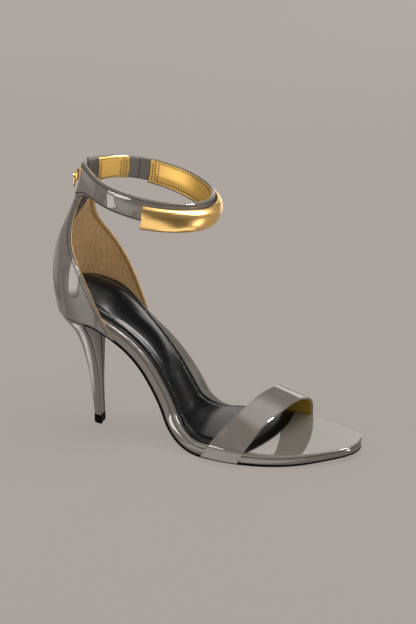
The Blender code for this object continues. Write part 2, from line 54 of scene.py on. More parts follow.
# Sole: stretches of the profile (length, slope at the end) and half widths (station, lateral, medial)
SOLE_PROFILE = (
    (22.5, -6.0),
    (10.0, -31.0),
    (21.0, -44.0),
    (24.0, -60.0),
    (29.0, -66.0),
    (34.0, 0.0),
    (37.0, 0.0),
    (61.5, 5.8),
)
TREAD_STRETCH = 6
SEAT_SLOPE = -6.0
SEAT_BACK_X = -23.8
SOLE_LENGTH = sum(stretch[0] for stretch in SOLE_PROFILE)
SOLE_WIDTHS = (
    (23.5, 23.5, 23.5),
    (50.0, 21.5, 23.5),
    (78.0, 20.0, 24.0),
    (106.0, 22.5, 25.0),
    (126.0, 30.0, 27.5),
    (146.0, 36.0, 30.5),
    (168.0, 38.5, 32.5),
    (190.0, 36.0, 32.0),
    (210.0, 28.5, 27.0),
    (226.0, 18.5, 18.5),
)
HEEL_RADIUS = 23.5
TOE_RADIUS = 17.0
BALL_SKEW = 7.0
SKEW_RANGE = (36.0, 200.0)
ARCH_RAISE = 2.0
ARCH_RANGE = (36.0, 140.0)
TOE_TAPER = 0.6
TAPER_FROM = 160.0
WEDGE_HEIGHT = 10.0
WEDGE_REACH = 46.0
WEDGE_TWIST = 16.0

# Layers of the sole: bottom, thickness, growth of the outline, wedge under and over, edge depth, squareness
OUTSOLE_LAYER = (-2.0, 1.8, -0.15, 0.0, 0.0, 0.5, 4.0)
MIDSOLE_LAYER = (-0.2, 5.2, 0.0, 0.0, 0.0, 0.7, 4.0)
BOARD_LAYER = (5.1, 2.6, 0.4, 0.0, 1.0, 1.2, 2.2)
SOLE_MESH = (132, 36)

# Sock: a layer like those of the sole, the end of its round heel, and its bowed front edge (x, y, bow)
SOCK_LAYER = (7.75, 2.0, -2.1, 1.0, 1.0, 1.1, 2.2)
SOCK_HEEL = 60.0
SOCK_FRONT = (126.0, 20.0, 200.0)
SOCK_FRONT_HALF = 34.0
SOCK_MESH = (150, 64)
# Where the round heel ends on the sock's grid, and about how many millimetres one step of the grid's p is
SOCK_SPLIT = -0.3
SOCK_SCALE = 100.0
# Thin stitched border: width, thickness, stitches from the edge, their ends on the grid, and over how many
# millimetres from the side and from the front edge the sock grows thick and its pad rises
SOCK_BORDER = 3.8
SOCK_EDGE = 0.9
SOCK_STITCHES = 2.6
SOCK_SEAM = (-0.75, 0.96)
SOCK_SEAM_SIDE = 0.8
SOCK_SEAM_STAND = 0.05
SOCK_SIDE_RISE = (1.0, 5.8)
SOCK_FRONT_THIN = (0.0, 6.0)
SOCK_FRONT_RISE = (2.0, 14.0)
# Pad under heel and arch, with a round nose, and the flatter pad before it
CUSHION_RISE = 3.2
CUSHION_END = 86.0
CUSHION_NOSE = 26.0
CUSHION_SQUARE = 3.0
FOREFOOT_RISE = 0.9
# Strip of the board that the sock leaves bare along the arch: depth, and stations where it starts and ends
SOCK_WAIST = (5.0, 34.0, 78.0, 100.0, 152.0)

# Heel: height, back x, breast x, half width
HEEL_SECTIONS = (
    (6.3, -3.8, 2.5, 4.1),
    (28.0, -5.7, 1.8, 5.0),
    (37.0, -7.0, 1.6, 6.4),
    (45.0, -8.5, 1.3, 8.4),
    (53.0, -10.5, 0.9, 10.8),
    (62.0, -13.0, 0.2, 14.6),
    (71.0, -17.4, -0.8, 19.4),
    (79.0, -23.2, -2.0, 24.4),
    (90.0, -26.2, -2.0, 25.8),
)
HEEL_TIP_HEIGHT = 6.0
HEEL_CORNER = 0.8
BREAST_HOLLOW = 0.09
# Dark lines down the breast, their half width and their run: the lateral one at the corner is the cover's
# seam, the medial one is a painted dark reflection
BREAST_SEAM_AND_REFLECTION_LINES = (-0.8, 0.9)
BREAST_LINE_HALF = 0.011
BREAST_LINE_RUN = (-0.99, 0.985)
HEEL_MESH = (80, 60)
HEEL_EDGE = 0.5
HEEL_EDGE_ANGLE = 50.0
TIP_MESH = (60, 2)
TIP_EDGE = 0.4
SEAT_GAP = 0.5

# Counter: height at the back, back x, half width, share of the sole's drop, lateral and medial front angles,
# share by which the sides are drawn in towards the back seam
COUNTER_ROWS = (
    (83.4, -24.2, 25.0, 1.00, 89.5, 107.0, 0.00),
    (88.0, -25.2, 25.6, 0.95, 86.5, 107.0, 0.00),
    (96.0, -26.6, 26.4, 0.85, 81.0, 104.0, 0.00),
    (107.0, -27.3, 27.0, 0.70, 74.0, 97.0, 0.00),
    (119.0, -26.4, 27.2, 0.55, 64.0, 84.0, 0.00),
    (131.0, -23.6, 27.4, 0.40, 49.5, 64.5, 0.00),
    (141.0, -19.6, 27.8, 0.30, 37.0, 47.0, 0.00),
    (150.0, -15.5, 28.4, 0.20, 28.5, 37.0, 0.05),
    (161.0, -11.5, 29.6, 0.10, 26.0, 33.0, 0.28),
    (174.0, -8.3, 31.2, 0.00, 28.0, 35.0, 0.64),
    (188.0, -8.0, 31.8, 0.00, 28.0, 35.0, 0.72),
)
COUNTER_WALL = 1.7
STEM_TOP = 171.0
LAST_CLEARANCE = 1.0
BACK_FLAT = 5.0
HEEL_EDGE_SHIFT = 0.6
LOOP_HALF_LENGTH = 42.0
LOOP_TILT = 0.2
PINCH_POWER = 3.5

# Ankle strap: angle from the back, height of the band
STRAP_BAND = (
    (0.0, 26.0),
    (18.0, 23.0),
    (36.0, 18.0),
    (60.0, 16.0),
    (110.0, 16.0),
    (180.0, 17.0),
)
STRAP_TOP = 184.5
STRAP_OUT = 2.1
STRAP_IN = -0.4
GORE_FROM = 62.0
GORE_TO = 80.0

# Cuff plate: turn from the back by the lateral side, height, drop, stand-off, dome
CUFF_STATIONS = (
    (100.0, 16.2, 4.8, 0.4, 3.0),
    (125.0, 14.4, 4.3, 0.6, 3.4),
    (150.0, 13.0, 4.0, 1.0, 3.8),
    (180.0, 12.2, 3.7, 1.5, 3.8),
    (205.0, 11.0, 3.5, 1.1, 3.4),
    (228.0, 9.5, 3.5, 0.8, 3.0),
)
CUFF_MESH = (48, 120)
CUFF_BULGE = 0.9
CUFF_EDGE = 0.6

# Toe strap: y, rear and front height, rear and front x
TOE_STRAP_ROWS = (
    (-38.8, 2.3, 2.3, 80.3, 105.5),
    (-38.8, 10.2, 9.8, 85.6, 109.8),
    (-34.0, 18.0, 14.5, 91.0, 113.5),
    (-25.5, 26.0, 20.9, 98.5, 118.2),
    (-14.0, 31.8, 25.6, 106.0, 125.0),
    (0.0, 34.2, 27.5, 111.0, 130.3),
    (11.0, 34.0, 27.1, 115.5, 134.7),
    (21.0, 30.5, 23.5, 117.0, 137.0),
    (29.0, 23.0, 18.0, 117.0, 138.0),
    (33.0, 10.4, 9.8, 116.0, 137.5),
    (33.0, 2.3, 2.3, 115.0, 137.0),
)
TOE_STRAP_WALL = 1.9
TOE_STRAP_CLEARANCE = 1.0
TOE_STRAP_HUG = 4
# The toe strap's lining: its part of the strap's width, and how far it ends from the two feet, in rows
TOE_LINING_WIDTH = (0.03, 0.97)
TOE_LINING_FOOT = 0.05

# Back zip: slot, heights of its two ends, tape (from the seam, depths of its faces, rim) and teeth (depth,
# size, pitch, distances from foot and ends, offset from the seam, rounding)
ZIP_SLOT = 3.6
ZIP_FOOT = 126.0
ZIP_HEAD = 182.0
ZIP_TAPE_REACH = (0.2, 3.3)
ZIP_TAPE_DEPTH = (0.2, 0.9)
ZIP_TAPE_RIM = 0.2
ZIP_TEETH_DEPTH = 1.2
ZIP_TOOTH = (0.9, 2.6, 0.8)
ZIP_TOOTH_PITCH = 1.3
ZIP_TOOTH_FIRST = 0.8
ZIP_TOOTH_SPARE = 1.0
ZIP_TOOTH_OFFSET = 0.55
ZIP_TOOTH_EDGE = 0.18
# Slider and pull: sizes run outward, across and up
SLIDER_HEIGHT = 173.5
SLIDER_SIZE = (1.0, 6.4, 9.0)
SLIDER_CORNER = 2.6
SLIDER_EDGE = 0.25
LUG_SIZE = (2.8, 1.0, 2.0)
LUG_NOSE = 0.9
LUG_EDGE = 0.3
PIN_RADIUS = 0.45
PIN_STAND = 1.5
SLIDER_STAND = 5.2
PULL_LENGTH = 9.8
PULL_WIDTH = 2.4
PULL_TAB_WIDTH = 3.0
PULL_THICKNESS = 0.9
PULL_WIRE = 0.42
PULL_SQUARE = 0.7
EYE_RADIUS = 1.15
EYE_HOLE = 0.7
EYE_FLAT = 0.35
WELD = 0.001

# Camera fitted to the photo: azimuth, elevation, distance, pixels per millimetre and the heel tip's pixel
PHOTO_SIZE = (416, 624)
CAMERA_AZIMUTH = 16.0
CAMERA_ELEVATION = 23.0
CAMERA_DISTANCE = 1700.0
PIXELS_PER_MM = 1.5
TIP_PIXEL = (100.3, 421.0)
SENSOR = 36.0


def smooth_column(rows, column):
    """A natural cubic through one column of a table, whose first column is where each row stands."""
    where = np.array([row[0] for row in rows], float)
    value = np.array([row[column] for row in rows], float)
    count = len(where)
    step = np.diff(where)
    matrix = np.eye(count)
    bend = np.zeros(count)
    for i in range(1, count - 1):
        matrix[i, i - 1:i + 2] = step[i - 1], 2.0 * (step[i - 1] + step[i]), step[i]
        bend[i] = 6.0 * ((value[i + 1] - value[i]) / step[i] - (value[i] - value[i - 1]) / step[i - 1])
    moment = np.linalg.solve(matrix, bend).tolist()
    where, value, step = where.tolist(), value.tolist(), step.tolist()

    def at(x):
        i = min(max(bisect.bisect_left(where, x) - 1, 0), count - 2)
        left = where[i + 1] - x
        right = x - where[i]
        cubic = (moment[i] * left ** 3 + moment[i + 1] * right ** 3) / (6.0 * step[i])
        lower = (value[i] / step[i] - moment[i] * step[i] / 6.0) * left
        upper = (value[i + 1] / step[i] - moment[i + 1] * step[i] / 6.0) * right
        return cubic + lower + upper

    return at


def ramp(x, start, end):
    """0 before start, 1 after end, smooth between."""
    share = min(max((x - start) / (end - start), 0.0), 1.0)
    return share * share * (3.0 - 2.0 * share)


def lerp(a, b, share):
    return a + (b - a) * share


def profile_walk(station):
    """Place and slope on the sole's profile, a chain of arcs, before it is set on the floor."""
    x, z = 0.0, 0.0
    slope = math.radians(SEAT_SLOPE)
    for length, end_slope in SOLE_PROFILE:
        step = min(station, length)
        turn = (math.radians(end_slope) - slope) * step / length
        chord = step if abs(turn) < MERGE else step * math.sin(turn / 2.0) / (turn / 2.0)
        x += chord * math.cos(slope + turn / 2.0)
        z += chord * math.sin(slope + turn / 2.0)
        slope += turn
        station -= step
        if station <= 0.0:
            break
    return x, z, slope


TREAD_START = sum(stretch[0] for stretch in SOLE_PROFILE[:TREAD_STRETCH])
FLOOR_SHIFT = -OUTSOLE_LAYER[0] - profile_walk(TREAD_START)[1]


def sole_point(station, lift):
    """Point (x, z) at a distance along the sole and a height over the seam under the midsole."""
    x, z, slope = profile_walk(station)
    return SEAT_BACK_X + x - lift * math.sin(slope), FLOOR_SHIFT + z + lift * math.cos(slope)


STATION_STEPS = np.linspace(-40.0, SOLE_LENGTH, 1200)
STATION_XS = np.array([sole_point(station, 0.0)[0] for station in STATION_STEPS])


def station_at(x):
    return float(np.interp(x, STATION_XS, STATION_STEPS))


def end_rounding(station):
    share = 2.0 * station / SOLE_LENGTH - 1.0
    return math.sqrt(max(1.0 - share * share, 0.0))


def unrounded_width(column):
    rows = [(0.0, math.sqrt(HEEL_RADIUS * SOLE_LENGTH / 2.0))]
    rows += [(row[0], row[column] / end_rounding(row[0])) for row in SOLE_WIDTHS]
    rows += [(SOLE_LENGTH, math.sqrt(TOE_RADIUS * SOLE_LENGTH / 2.0))]
    return smooth_column(rows, 1)


SOLE_LATERAL = unrounded_width(1)
SOLE_MEDIAL = unrounded_width(2)


def sole_width(station, side):
    width = SOLE_LATERAL if side < 0.0 else SOLE_MEDIAL
    return width(station) * end_rounding(station)


def medial_swell(station, limits, across):
    share = min(max((station - limits[0]) / (limits[1] - limits[0]), 0.0), 1.0)
    return math.sin(math.pi * share) ** 2 * max(across, 0.0) ** 2


def sole_place(station, across, lift, grow, wedge):
    """Point of a sole layer at a distance along it and a share of its half width."""
    width = sole_width(station, across)
    heel_end = max(1.0 - station / HEEL_RADIUS, 0.0)
    toe_end = max(1.0 - (SOLE_LENGTH - station) / TOE_RADIUS, 0.0)
    end = toe_end - heel_end
    y = across * max(width + grow * math.sqrt(max(1.0 - end * end, 0.0)), 0.0)
    inner = y / max(width, 1.0)
    taper = (1.0 - TOE_TAPER) * min(max((station - TAPER_FROM) / (SOLE_LENGTH - TAPER_FROM), 0.0), 1.0)
    reach = min(max(station, 0.0) / (WEDGE_REACH + WEDGE_TWIST * inner), 1.0)
    raised = lift * (1.0 - taper) + ARCH_RAISE * medial_swell(station, ARCH_RANGE, inner)
    raised += wedge * WEDGE_HEIGHT * math.cos(math.pi / 2.0 * reach) ** 2
    x, z = sole_point(station + grow * end, raised)
    return Vector((x + BALL_SKEW * medial_swell(station, SKEW_RANGE, inner), y, z))


COUNTER_BACK, COUNTER_HALF, COUNTER_DROP, COUNTER_LATERAL, COUNTER_MEDIAL, COUNTER_PINCH = (
    smooth_column(COUNTER_ROWS, column) for column in (1, 2, 3, 4, 5, 6)
)
STRAP_HEIGHT = smooth_column(STRAP_BAND, 1)


def upper_place(angle, height, inset=0.0):
    """Point of the upper's inner face: angle from the back seam (negative is lateral), height at the back."""
    turn = math.radians(angle)
    row = min(max(height, COUNTER_ROWS[0][0]), COUNTER_ROWS[-1][0])
    forward = LOOP_HALF_LENGTH * (1.0 - math.cos(turn))
    drop_share = COUNTER_DROP(row)
    pinch = max(COUNTER_PINCH(row), 0.0) * max(math.cos(turn), 0.0) ** PINCH_POWER
    y = COUNTER_HALF(row) * math.sin(turn) * (1.0 - pinch)
    station = 0.0
    if drop_share > 0.0:
        station = station_at(COUNTER_ROWS[0][1] + forward + HEEL_EDGE_SHIFT)
        last = math.copysign(sole_width(station, angle) + LAST_CLEARANCE, turn)
        last *= min(abs(angle) / BACK_FLAT, 1.0)
        y += (last - y) * drop_share
    sole_drop = sole_point(0.0, 0.0)[1] - sole_point(station, 0.0)[1]
    z = height - drop_share * sole_drop - (1.0 - drop_share) * LOOP_TILT * forward
    inward = Vector((math.cos(turn) * inset, -math.sin(turn) * inset, 0.0))
    return Vector((COUNTER_BACK(row) + forward, y, z)) + inward


def strap_level(angle, share):
    """Height at the back of a point of the strap: share is 0 at its lower edge and 1 at its upper edge."""
    return STRAP_TOP - STRAP_HEIGHT(min(abs(angle), 360.0 - abs(angle))) * (1.0 - share)


def strap_place(angle, share):
    return upper_place(angle, strap_level(angle, share))


def slope_of(place, u, v, step=0.02):
    """The two tangents of a sheet at u, v, and its normal."""
    along = (place(u + step, v) - place(u - step, v)) / (2.0 * step)
    across = (place(u, v + step) - place(u, v - step)) / (2.0 * step)
    return along, across, along.cross(across).normalized()


# Walls of leather and cloth over the sheet that each lies on: its two faces, and the depth of the round rim.
# The sheets of counter and strap are their inner faces, and minus is outward there
BREAST_LINE_WALL = (-0.12, 0.12, 0.05)
QUARTER_WALL = (-0.55, -COUNTER_WALL, 0.45)
COUNTER_LINING_WALL = (0.0, -0.6, 0.3)
BINDING_WALL = (-0.1, 0.28, 0.2)
STEM_FACING_WALL = (-0.1, 0.3, 0.2)
FACING_SEAM_SHADE_WALL = (-0.1, 0.34, 0.1)
ANKLE_STRAP_WALL = (-0.15, -STRAP_OUT, 0.9)
STRAP_LINING_WALL = (-0.2, -STRAP_IN, 0.3)
ZIP_FACING_WALL = (-0.2, 0.3, 0.2)
GORE_WALL = (0.0, -1.5, 0.4)
GORE_SEAM_WALL = (0.18, -0.2, 0.15)
TOE_PATENT_WALL = (0.45, TOE_STRAP_WALL, 0.75)
TOE_LINING_WALL = (0.0, 0.5, 0.2)


# Making meshes

def add_object(name, bm, material):
    mesh = bpy.data.meshes.new(name)
    bm.to_mesh(mesh)
    bm.free()
    mesh.materials.append(material)
    made = bpy.data.objects.new(name, mesh)
    bpy.context.scene.collection.objects.link(made)
    return made


def add_piece(name, bm, material, body="shoe", nodes=(), slot=None):
    """Turns a mesh in metres into a piece that rides on a body and stands for CAD nodes."""
    piece = add_object(name, bm, material)
    piece.data.shade_smooth()
    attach(piece, body)
    if nodes:
        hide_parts(*nodes)
    return piece


def bevel(piece, width, segments=3, angle=40.0):
    edge = piece.modifiers.new("edge", "BEVEL")
    edge.width = width * MM
    edge.segments = segments
    edge.limit_method = "ANGLE"
    edge.angle_limit = math.radians(angle)


def slab(columns, rows, place, cuts=6, square=2.0):
    """A slab over a grid. place(p, q, h, inset) gives each point: h runs from its lower to its upper face,
    and inset from 0 at the rounded rim's crown to 1 on the two faces."""
    bm = bmesh.new()
    bmesh.ops.create_grid(bm, x_segments=columns, y_segments=rows, size=1.0)
    raised = bmesh.ops.extrude_face_region(bm, geom=bm.faces[:])["geom"]
    for item in raised:
        if isinstance(item, bmesh.types.BMVert):
            item.co.z = 1.0
    uprights = [edge for edge in bm.edges if abs(edge.verts[0].co.z - edge.verts[1].co.z) > 0.5]
    bmesh.ops.subdivide_edges(bm, edges=uprights, cuts=cuts)
    for vert in bm.verts:
        p, q, h = vert.co
        crown = abs(math.cos(math.pi * h))
        inset = 1.0 - max(1.0 - crown ** square, 0.0) ** (1.0 / square)
        vert.co = place(p, q, (1.0 - math.cos(math.pi * h)) / 2.0, inset) * MM
    bmesh.ops.recalc_face_normals(bm, faces=bm.faces)
    return bm


def wall(columns, rows, sheet, low, high, rim, swell=None):
    """A wall of leather over a sheet p, q: its faces stand low and high over it, its rim is rounded, and
    swell(p, q) is what padding adds to its high face."""
    def place(p, q, h, inset):
        along, across, normal = slope_of(sheet, p, q)
        top = high + swell(p, q) if swell else high
        if abs(p) > 1.0 - MERGE:
            p -= math.copysign(rim * inset / along.length, p)
        if abs(q) > 1.0 - MERGE:
            q -= math.copysign(rim * inset / across.length, q)
        return sheet(p, q) + normal * lerp(low, top, h)

    return slab(columns, rows, place, cuts=4)


def tube(columns, rows, place):
    """A grid whose first and last columns meet, closed by a cap at each end."""
    bm = bmesh.new()
    bmesh.ops.create_grid(bm, x_segments=columns, y_segments=rows, size=1.0)
    for vert in bm.verts:
        vert.co = Vector(place(vert.co.x, vert.co.y)) * MM
    bmesh.ops.remove_doubles(bm, verts=bm.verts, dist=MERGE)
    bmesh.ops.holes_fill(bm, edges=[edge for edge in bm.edges if edge.is_boundary])
    bmesh.ops.recalc_face_normals(bm, faces=bm.faces)
    return bm


def box(size, centre):
    bm = bmesh.new()
    bmesh.ops.create_cube(bm, size=1.0)
    bmesh.ops.scale(bm, vec=Vector(size), verts=bm.verts)
    bmesh.ops.translate(bm, vec=Vector(centre), verts=bm.verts)
    return bm


def merge_into(bm, other):
    """Adds another mesh to one and frees it."""
    mesh = bpy.data.meshes.new("shape")
    other.to_mesh(mesh)
    other.free()
    bm.from_mesh(mesh)
    bpy.data.meshes.remove(mesh)


def round_edges(bm, edges, width, segments=2):
    bmesh.ops.bevel(bm, geom=edges, offset=width, segments=segments, profile=0.5, affect="EDGES",
                    material=-1)


def joined_copies(name, shape, spots, material, **role):
    """One mesh of many copies of a small shape in millimetres, each set by an origin and three axes."""
    points = np.array([vert.co for vert in shape.verts])
    faces = np.array([[vert.index for vert in face.verts] for face in shape.faces])
    origins = np.array([[*spot[0]] for spot in spots])
    axes = np.array([[[*axis] for axis in spot[1:]] for spot in spots])
    placed = origins[:, None, :] + np.einsum("vi,nij->nvj", points, axes)
    shifted = faces[None, :, :] + len(points) * np.arange(len(spots))[:, None, None]
    mesh = bpy.data.meshes.new(name)
    mesh.from_pydata((placed.reshape(-1, 3) * MM).tolist(), [], shifted.reshape(-1, faces.shape[1]).tolist())
    bm = bmesh.new()
    bm.from_mesh(mesh)
    bpy.data.meshes.remove(mesh)
    bmesh.ops.recalc_face_normals(bm, faces=bm.faces)
    shape.free()
    add_piece(name, bm, material, **role)


def capsule(length, radius):
    """A stitch lying along X, as quads: a cube drawn out and rounded."""
    bm = bmesh.new()
    bmesh.ops.create_cube(bm, size=2.0)
    bmesh.ops.subdivide_edges(bm, edges=bm.edges, cuts=1, use_grid_fill=True)
    for vert in bm.verts:
        shift = math.copysign(length / 2.0 - radius, vert.co.x) if abs(vert.co.x) > 0.5 else 0.0
        vert.co = vert.co.normalized() * radius
        vert.co.x += shift
    bm.verts.index_update()
    return bm


# Stitches: pitch, length, radius and how far their middle stands over the leather
STITCH_PITCH = 1.9
STITCH_LENGTH = 1.25
STITCH_RADIUS = 0.5
STITCH_STAND = 0.02


def stitch_row(name, path, material):
    """Stitches at an even pitch along a path of (point, normal), half sunk into the leather."""
    points = np.array([[*step[0]] for step in path])
    gaps = np.linalg.norm(np.diff(points, axis=0), axis=1)
    run = np.concatenate([[0.0], np.cumsum(gaps)])
    spots = []
    for i in range(int(run[-1] / STITCH_PITCH)):
        middle = (i + 0.5) * STITCH_PITCH
        j = int(np.searchsorted(run, middle)) - 1
        share = (middle - run[j]) / max(gaps[j], MERGE)
        normal = Vector(path[j][1]).lerp(Vector(path[j + 1][1]), share).normalized()
        along = Vector(points[j + 1] - points[j]).normalized()
        side = normal.cross(along).normalized()
        spots.append((Vector(lerp(points[j], points[j + 1], share)), along, side, normal))
    joined_copies(name, capsule(STITCH_LENGTH, STITCH_RADIUS), spots, material)


def path_on(sheet, line, depth, steps=120, swell=None):
    """Points and normals along a line u, v of a sheet, at a depth over it and on its padding."""
    path = []
    for i in range(steps + 1):
        u, v = line(i / steps)
        normal = slope_of(sheet, u, v)[2]
        rise = depth + swell(u, v) if swell else depth
        path.append((sheet(u, v) + normal * rise, normal))
    return path


# Materials

def colour(code):
    """A linear colour from an sRGB code such as 8d8884."""
    channels = [int(code[i:i + 2], 16) / 255.0 for i in (0, 2, 4)]
    return (*[c / 12.92 if c <= 0.04045 else ((c + 0.055) / 1.055) ** 2.4 for c in channels], 1.0)


def add_node(material, kind, values=None, links=None, **settings):
    """Adds a node to a material, with its settings, values of its inputs and links to them."""
    made = material.node_tree.nodes.new(kind)
    for name, value in settings.items():
        setattr(made, name, value)
    for name, value in (values or {}).items():
        made.inputs[name].default_value = value
    for name, source in (links or {}).items():
        material.node_tree.links.new(source, made.inputs[name])
    return made


def new_material(name, code, roughness, **values):
    """A Principled material and its shader node."""
    material = bpy.data.materials.new(name)
    material.use_nodes = True
    shader = material.node_tree.nodes["Principled BSDF"]
    shader.inputs["Base Color"].default_value = colour(code)
    shader.inputs["Roughness"].default_value = roughness
    for key, value in values.items():
        shader.inputs[key.replace("_", " ").title().replace("Ior", "IOR")].default_value = value
    return material, shader


def grain(material, shader, size, height, socket="Normal", stretch=(1.0, 1.0, 1.0)):
    """Relief of a given size and height in millimetres, from noise in object space."""
    place = add_node(material, "ShaderNodeTexCoord")
    mapped = add_node(material, "ShaderNodeMapping", {"Scale": stretch}, {"Vector": place.outputs["Object"]})
    noise = add_node(material, "ShaderNodeTexNoise", {"Scale": 1.0 / (size * MM), "Detail": 2.0},
                     {"Vector": mapped.outputs["Vector"]})
    bump = add_node(material, "ShaderNodeBump", {"Strength": 1.0, "Distance": height * MM},
                    {"Height": noise.outputs["Fac"]})
    material.node_tree.links.new(bump.outputs["Normal"], shader.inputs[socket])
    return noise


# Lacquered leather: a mid grey under a clear coat that mirrors the lights, with a faint orange peel
patent, patent_shader = new_material("lacquered_patent_leather", "8d8883", 0.5, specular_ior_level=0.0,
                                     coat_weight=1.0, coat_roughness=0.02, coat_ior=1.55)
grain(patent, patent_shader, 9.0, 0.02, socket="Coat Normal")

# Black rubber, moulded: nearly no light comes back
rubber, _ = new_material("moulded_black_rubber", "040404", 0.6, specular_ior_level=0.05)

# Sock: smooth black leather over foam, half gloss
sock_leather, sock_shader = new_material("black_sock_leather", "0e1013", 0.24, specular_ior_level=0.15)
grain(sock_leather, sock_shader, 0.9, 0.012)

# Gold plated brass, polished by hand: a soft mirror with broad, satin lights
gold, gold_shader = new_material("polished_gold_plated_brass", "edc37c", 0.28, metallic=1.0)
grain(gold, gold_shader, 5.0, 0.02, stretch=(1.0, 1.0, 3.0))

# Zip brass, stamped, a little duller than the plate
zip_brass, _ = new_material("stamped_zip_brass", "c9a662", 0.3, metallic=1.0)

# Metallic leather lining of the ankle strap: foil on leather, satin
foil, foil_shader = new_material("gold_foil_lining_leather", "dcb45e", 0.42, metallic=0.5)
grain(foil, foil_shader, 1.2, 0.03)

# Olive gold underside of the toe strap, in shade
olive, olive_shader = new_material("olive_gold_lining_leather", "a08426", 0.5, metallic=0.3)
grain(olive, olive_shader, 1.0, 0.03)

# Woven lining of the counter: fine upright ribs in tan, drawn coarser than the weave so that they show
twill, twill_shader = new_material("tan_woven_lining", "c8a674", 0.5, metallic=0.1)
ribs = grain(twill, twill_shader, 0.9, 0.05, stretch=(1.0, 1.0, 0.2))
mottle = add_node(twill, "ShaderNodeValToRGB", {}, {"Fac": ribs.outputs["Fac"]})
for stop, position, code in ((0, 0.3, "c29e6c"), (1, 0.7, "e0bf8c")):
    mottle.color_ramp.elements[stop].position = position
    mottle.color_ramp.elements[stop].color = colour(code)
twill.node_tree.links.new(mottle.outputs["Color"], twill_shader.inputs["Base Color"])

# Elastic and zip tape: matt grey ribbing
elastic, elastic_shader = new_material("grey_ribbed_elastic", "6a6764", 0.7)
grain(elastic, elastic_shader, 0.8, 0.05, stretch=(0.15, 0.15, 1.0))

# Facing of the zip: grey satin woven lengthwise, with a soft sheen
satin, satin_shader = new_material("grey_satin_facing", "5d5954", 0.4)
grain(satin, satin_shader, 1.6, 0.06, stretch=(1.0, 1.0, 0.15))

# Tan leather that binds the lining's edge, lighter than the lining
tan_leather, tan_shader = new_material("tan_binding_leather", "bd9a5c", 0.45, metallic=0.15)
grain(tan_leather, tan_shader, 0.8, 0.03)

# Threads
dark_thread, _ = new_material("dark_grey_polyester_thread", "100e0d", 0.6)
brown_thread, _ = new_material("brown_polyester_thread", "4a3915", 0.6)
# Thread of the sock's stitches: its own black, drawn dark grey as a painted glint
black_thread_painted_glint, _ = new_material("black_thread_with_painted_glint", "2b2f34", 0.4)


# Sole

def disc_point(p, q):
    """A square's point on the unit disc, so that a grid closes round the sole without a pole."""
    return p * math.sqrt(1.0 - q * q / 2.0), q * math.sqrt(1.0 - p * p / 2.0)


def sole_layer(layer):
    bottom, thickness, grow, wedge_under, wedge_over, edge, square = layer

    def place(p, q, h, inset):
        u, v = disc_point(p, q)
        station = SOLE_LENGTH * (1.0 + u) / 2.0
        across = v / max(math.sqrt(max(1.0 - u * u, 0.0)), MERGE)
        lift = bottom + thickness * h
        return sole_place(station, max(min(across, 1.0), -1.0), lift, grow - edge * inset,
                          lerp(wedge_under, wedge_over, h))

    return slab(*SOLE_MESH, place, square=square)


def make_sole():
    outsole = sole_layer(OUTSOLE_LAYER)
    everything = outsole.verts[:] + outsole.edges[:] + outsole.faces[:]
    breast = HEEL_SECTIONS[-1][2] + GAP
    bmesh.ops.bisect_plane(outsole, geom=everything, plane_co=(breast * MM, 0.0, 0.0),
                           plane_no=(1.0, 0.0, 0.0), clear_inner=True)
    bmesh.ops.holes_fill(outsole, edges=[edge for edge in outsole.edges if edge.is_boundary])
    add_piece("outsole_rubber", outsole, rubber, nodes=["outsole"], slot="black_rubber")
    midsole = sole_layer(MIDSOLE_LAYER)
    add_piece("midsole_wrap", midsole, patent, nodes=["midsole"], slot="grey_patent_midsole")
    board = sole_layer(BOARD_LAYER)
    add_piece("board_wrap", board, patent, nodes=["insole_board"], slot="grey_patent_board")


def sock_front(y):
    return station_at(SOCK_FRONT[0] - (y - SOCK_FRONT[1]) ** 2 / SOCK_FRONT[2])


def sock_station(p, q):
    """Station and share of the half width: round at the heel, cut along the bowed edge at the front."""
    if p < SOCK_SPLIT:
        u, v = disc_point((p - SOCK_SPLIT) / (1.0 + SOCK_SPLIT), q)
        across = v / max(math.sqrt(max(1.0 - u * u, 0.0)), MERGE)
        return SOCK_HEEL * (1.0 + u), max(min(across, 1.0), -1.0)
    front = sock_front(q * SOCK_FRONT_HALF)
    return lerp(SOCK_HEEL, front, (p - SOCK_SPLIT) / (1.0 - SOCK_SPLIT)), q


def sock_half_width(station, across):
    """Half width of the sock on one side; along the arch it stays inside the sole's medial edge."""
    depth, start, full, fall, end = SOCK_WAIST
    bare = depth * ramp(station, start, full) * ramp(station, end, fall) if across > 0.0 else 0.0
    return sole_width(station, across) + SOCK_LAYER[2] - bare


def sock_rise(station, across):
    """Thickness of the sock, and the rise of its pads over it."""
    width = sock_half_width(station, across)
    rim = width * (1.0 - abs(across))
    side = min(max(rim - SOCK_BORDER, 0.0) / max(width - SOCK_BORDER, MERGE), 1.0)
    nose = min(max(CUSHION_END - station, 0.0) / CUSHION_NOSE, 1.0)
    share = 0.0
    if side > 0.0 and nose > 0.0:
        both = side ** -CUSHION_SQUARE + nose ** -CUSHION_SQUARE
        share = min(both ** (-1.0 / CUSHION_SQUARE), 1.0)
    thick = lerp(SOCK_EDGE, SOCK_LAYER[1], ramp(rim, *SOCK_SIDE_RISE))
    forefoot = FOREFOOT_RISE * (1.0 - (1.0 - side) ** 2.0)
    return thick, forefoot + CUSHION_RISE * (1.0 - (1.0 - share) ** 2.0)


def sock_place(p, q, h, inset):
    bottom, _, grow, wedge_under, wedge_over, edge, _ = SOCK_LAYER
    station, across = sock_station(p, q)
    back = (1.0 - p) * SOCK_SCALE
    thick, rise = sock_rise(station, across)
    if p > 1.0 - MERGE:
        station -= edge * inset
    lift = bottom + lerp(SOCK_EDGE, thick, ramp(back, *SOCK_FRONT_THIN)) * h
    if h > 0.5:
        lift += rise * ramp(back, *SOCK_FRONT_RISE)
    side = across * sock_half_width(station, across) / (sole_width(station, across) + grow)
    return sole_place(station, side, lift, grow - edge * inset, lerp(wedge_under, wedge_over, h))


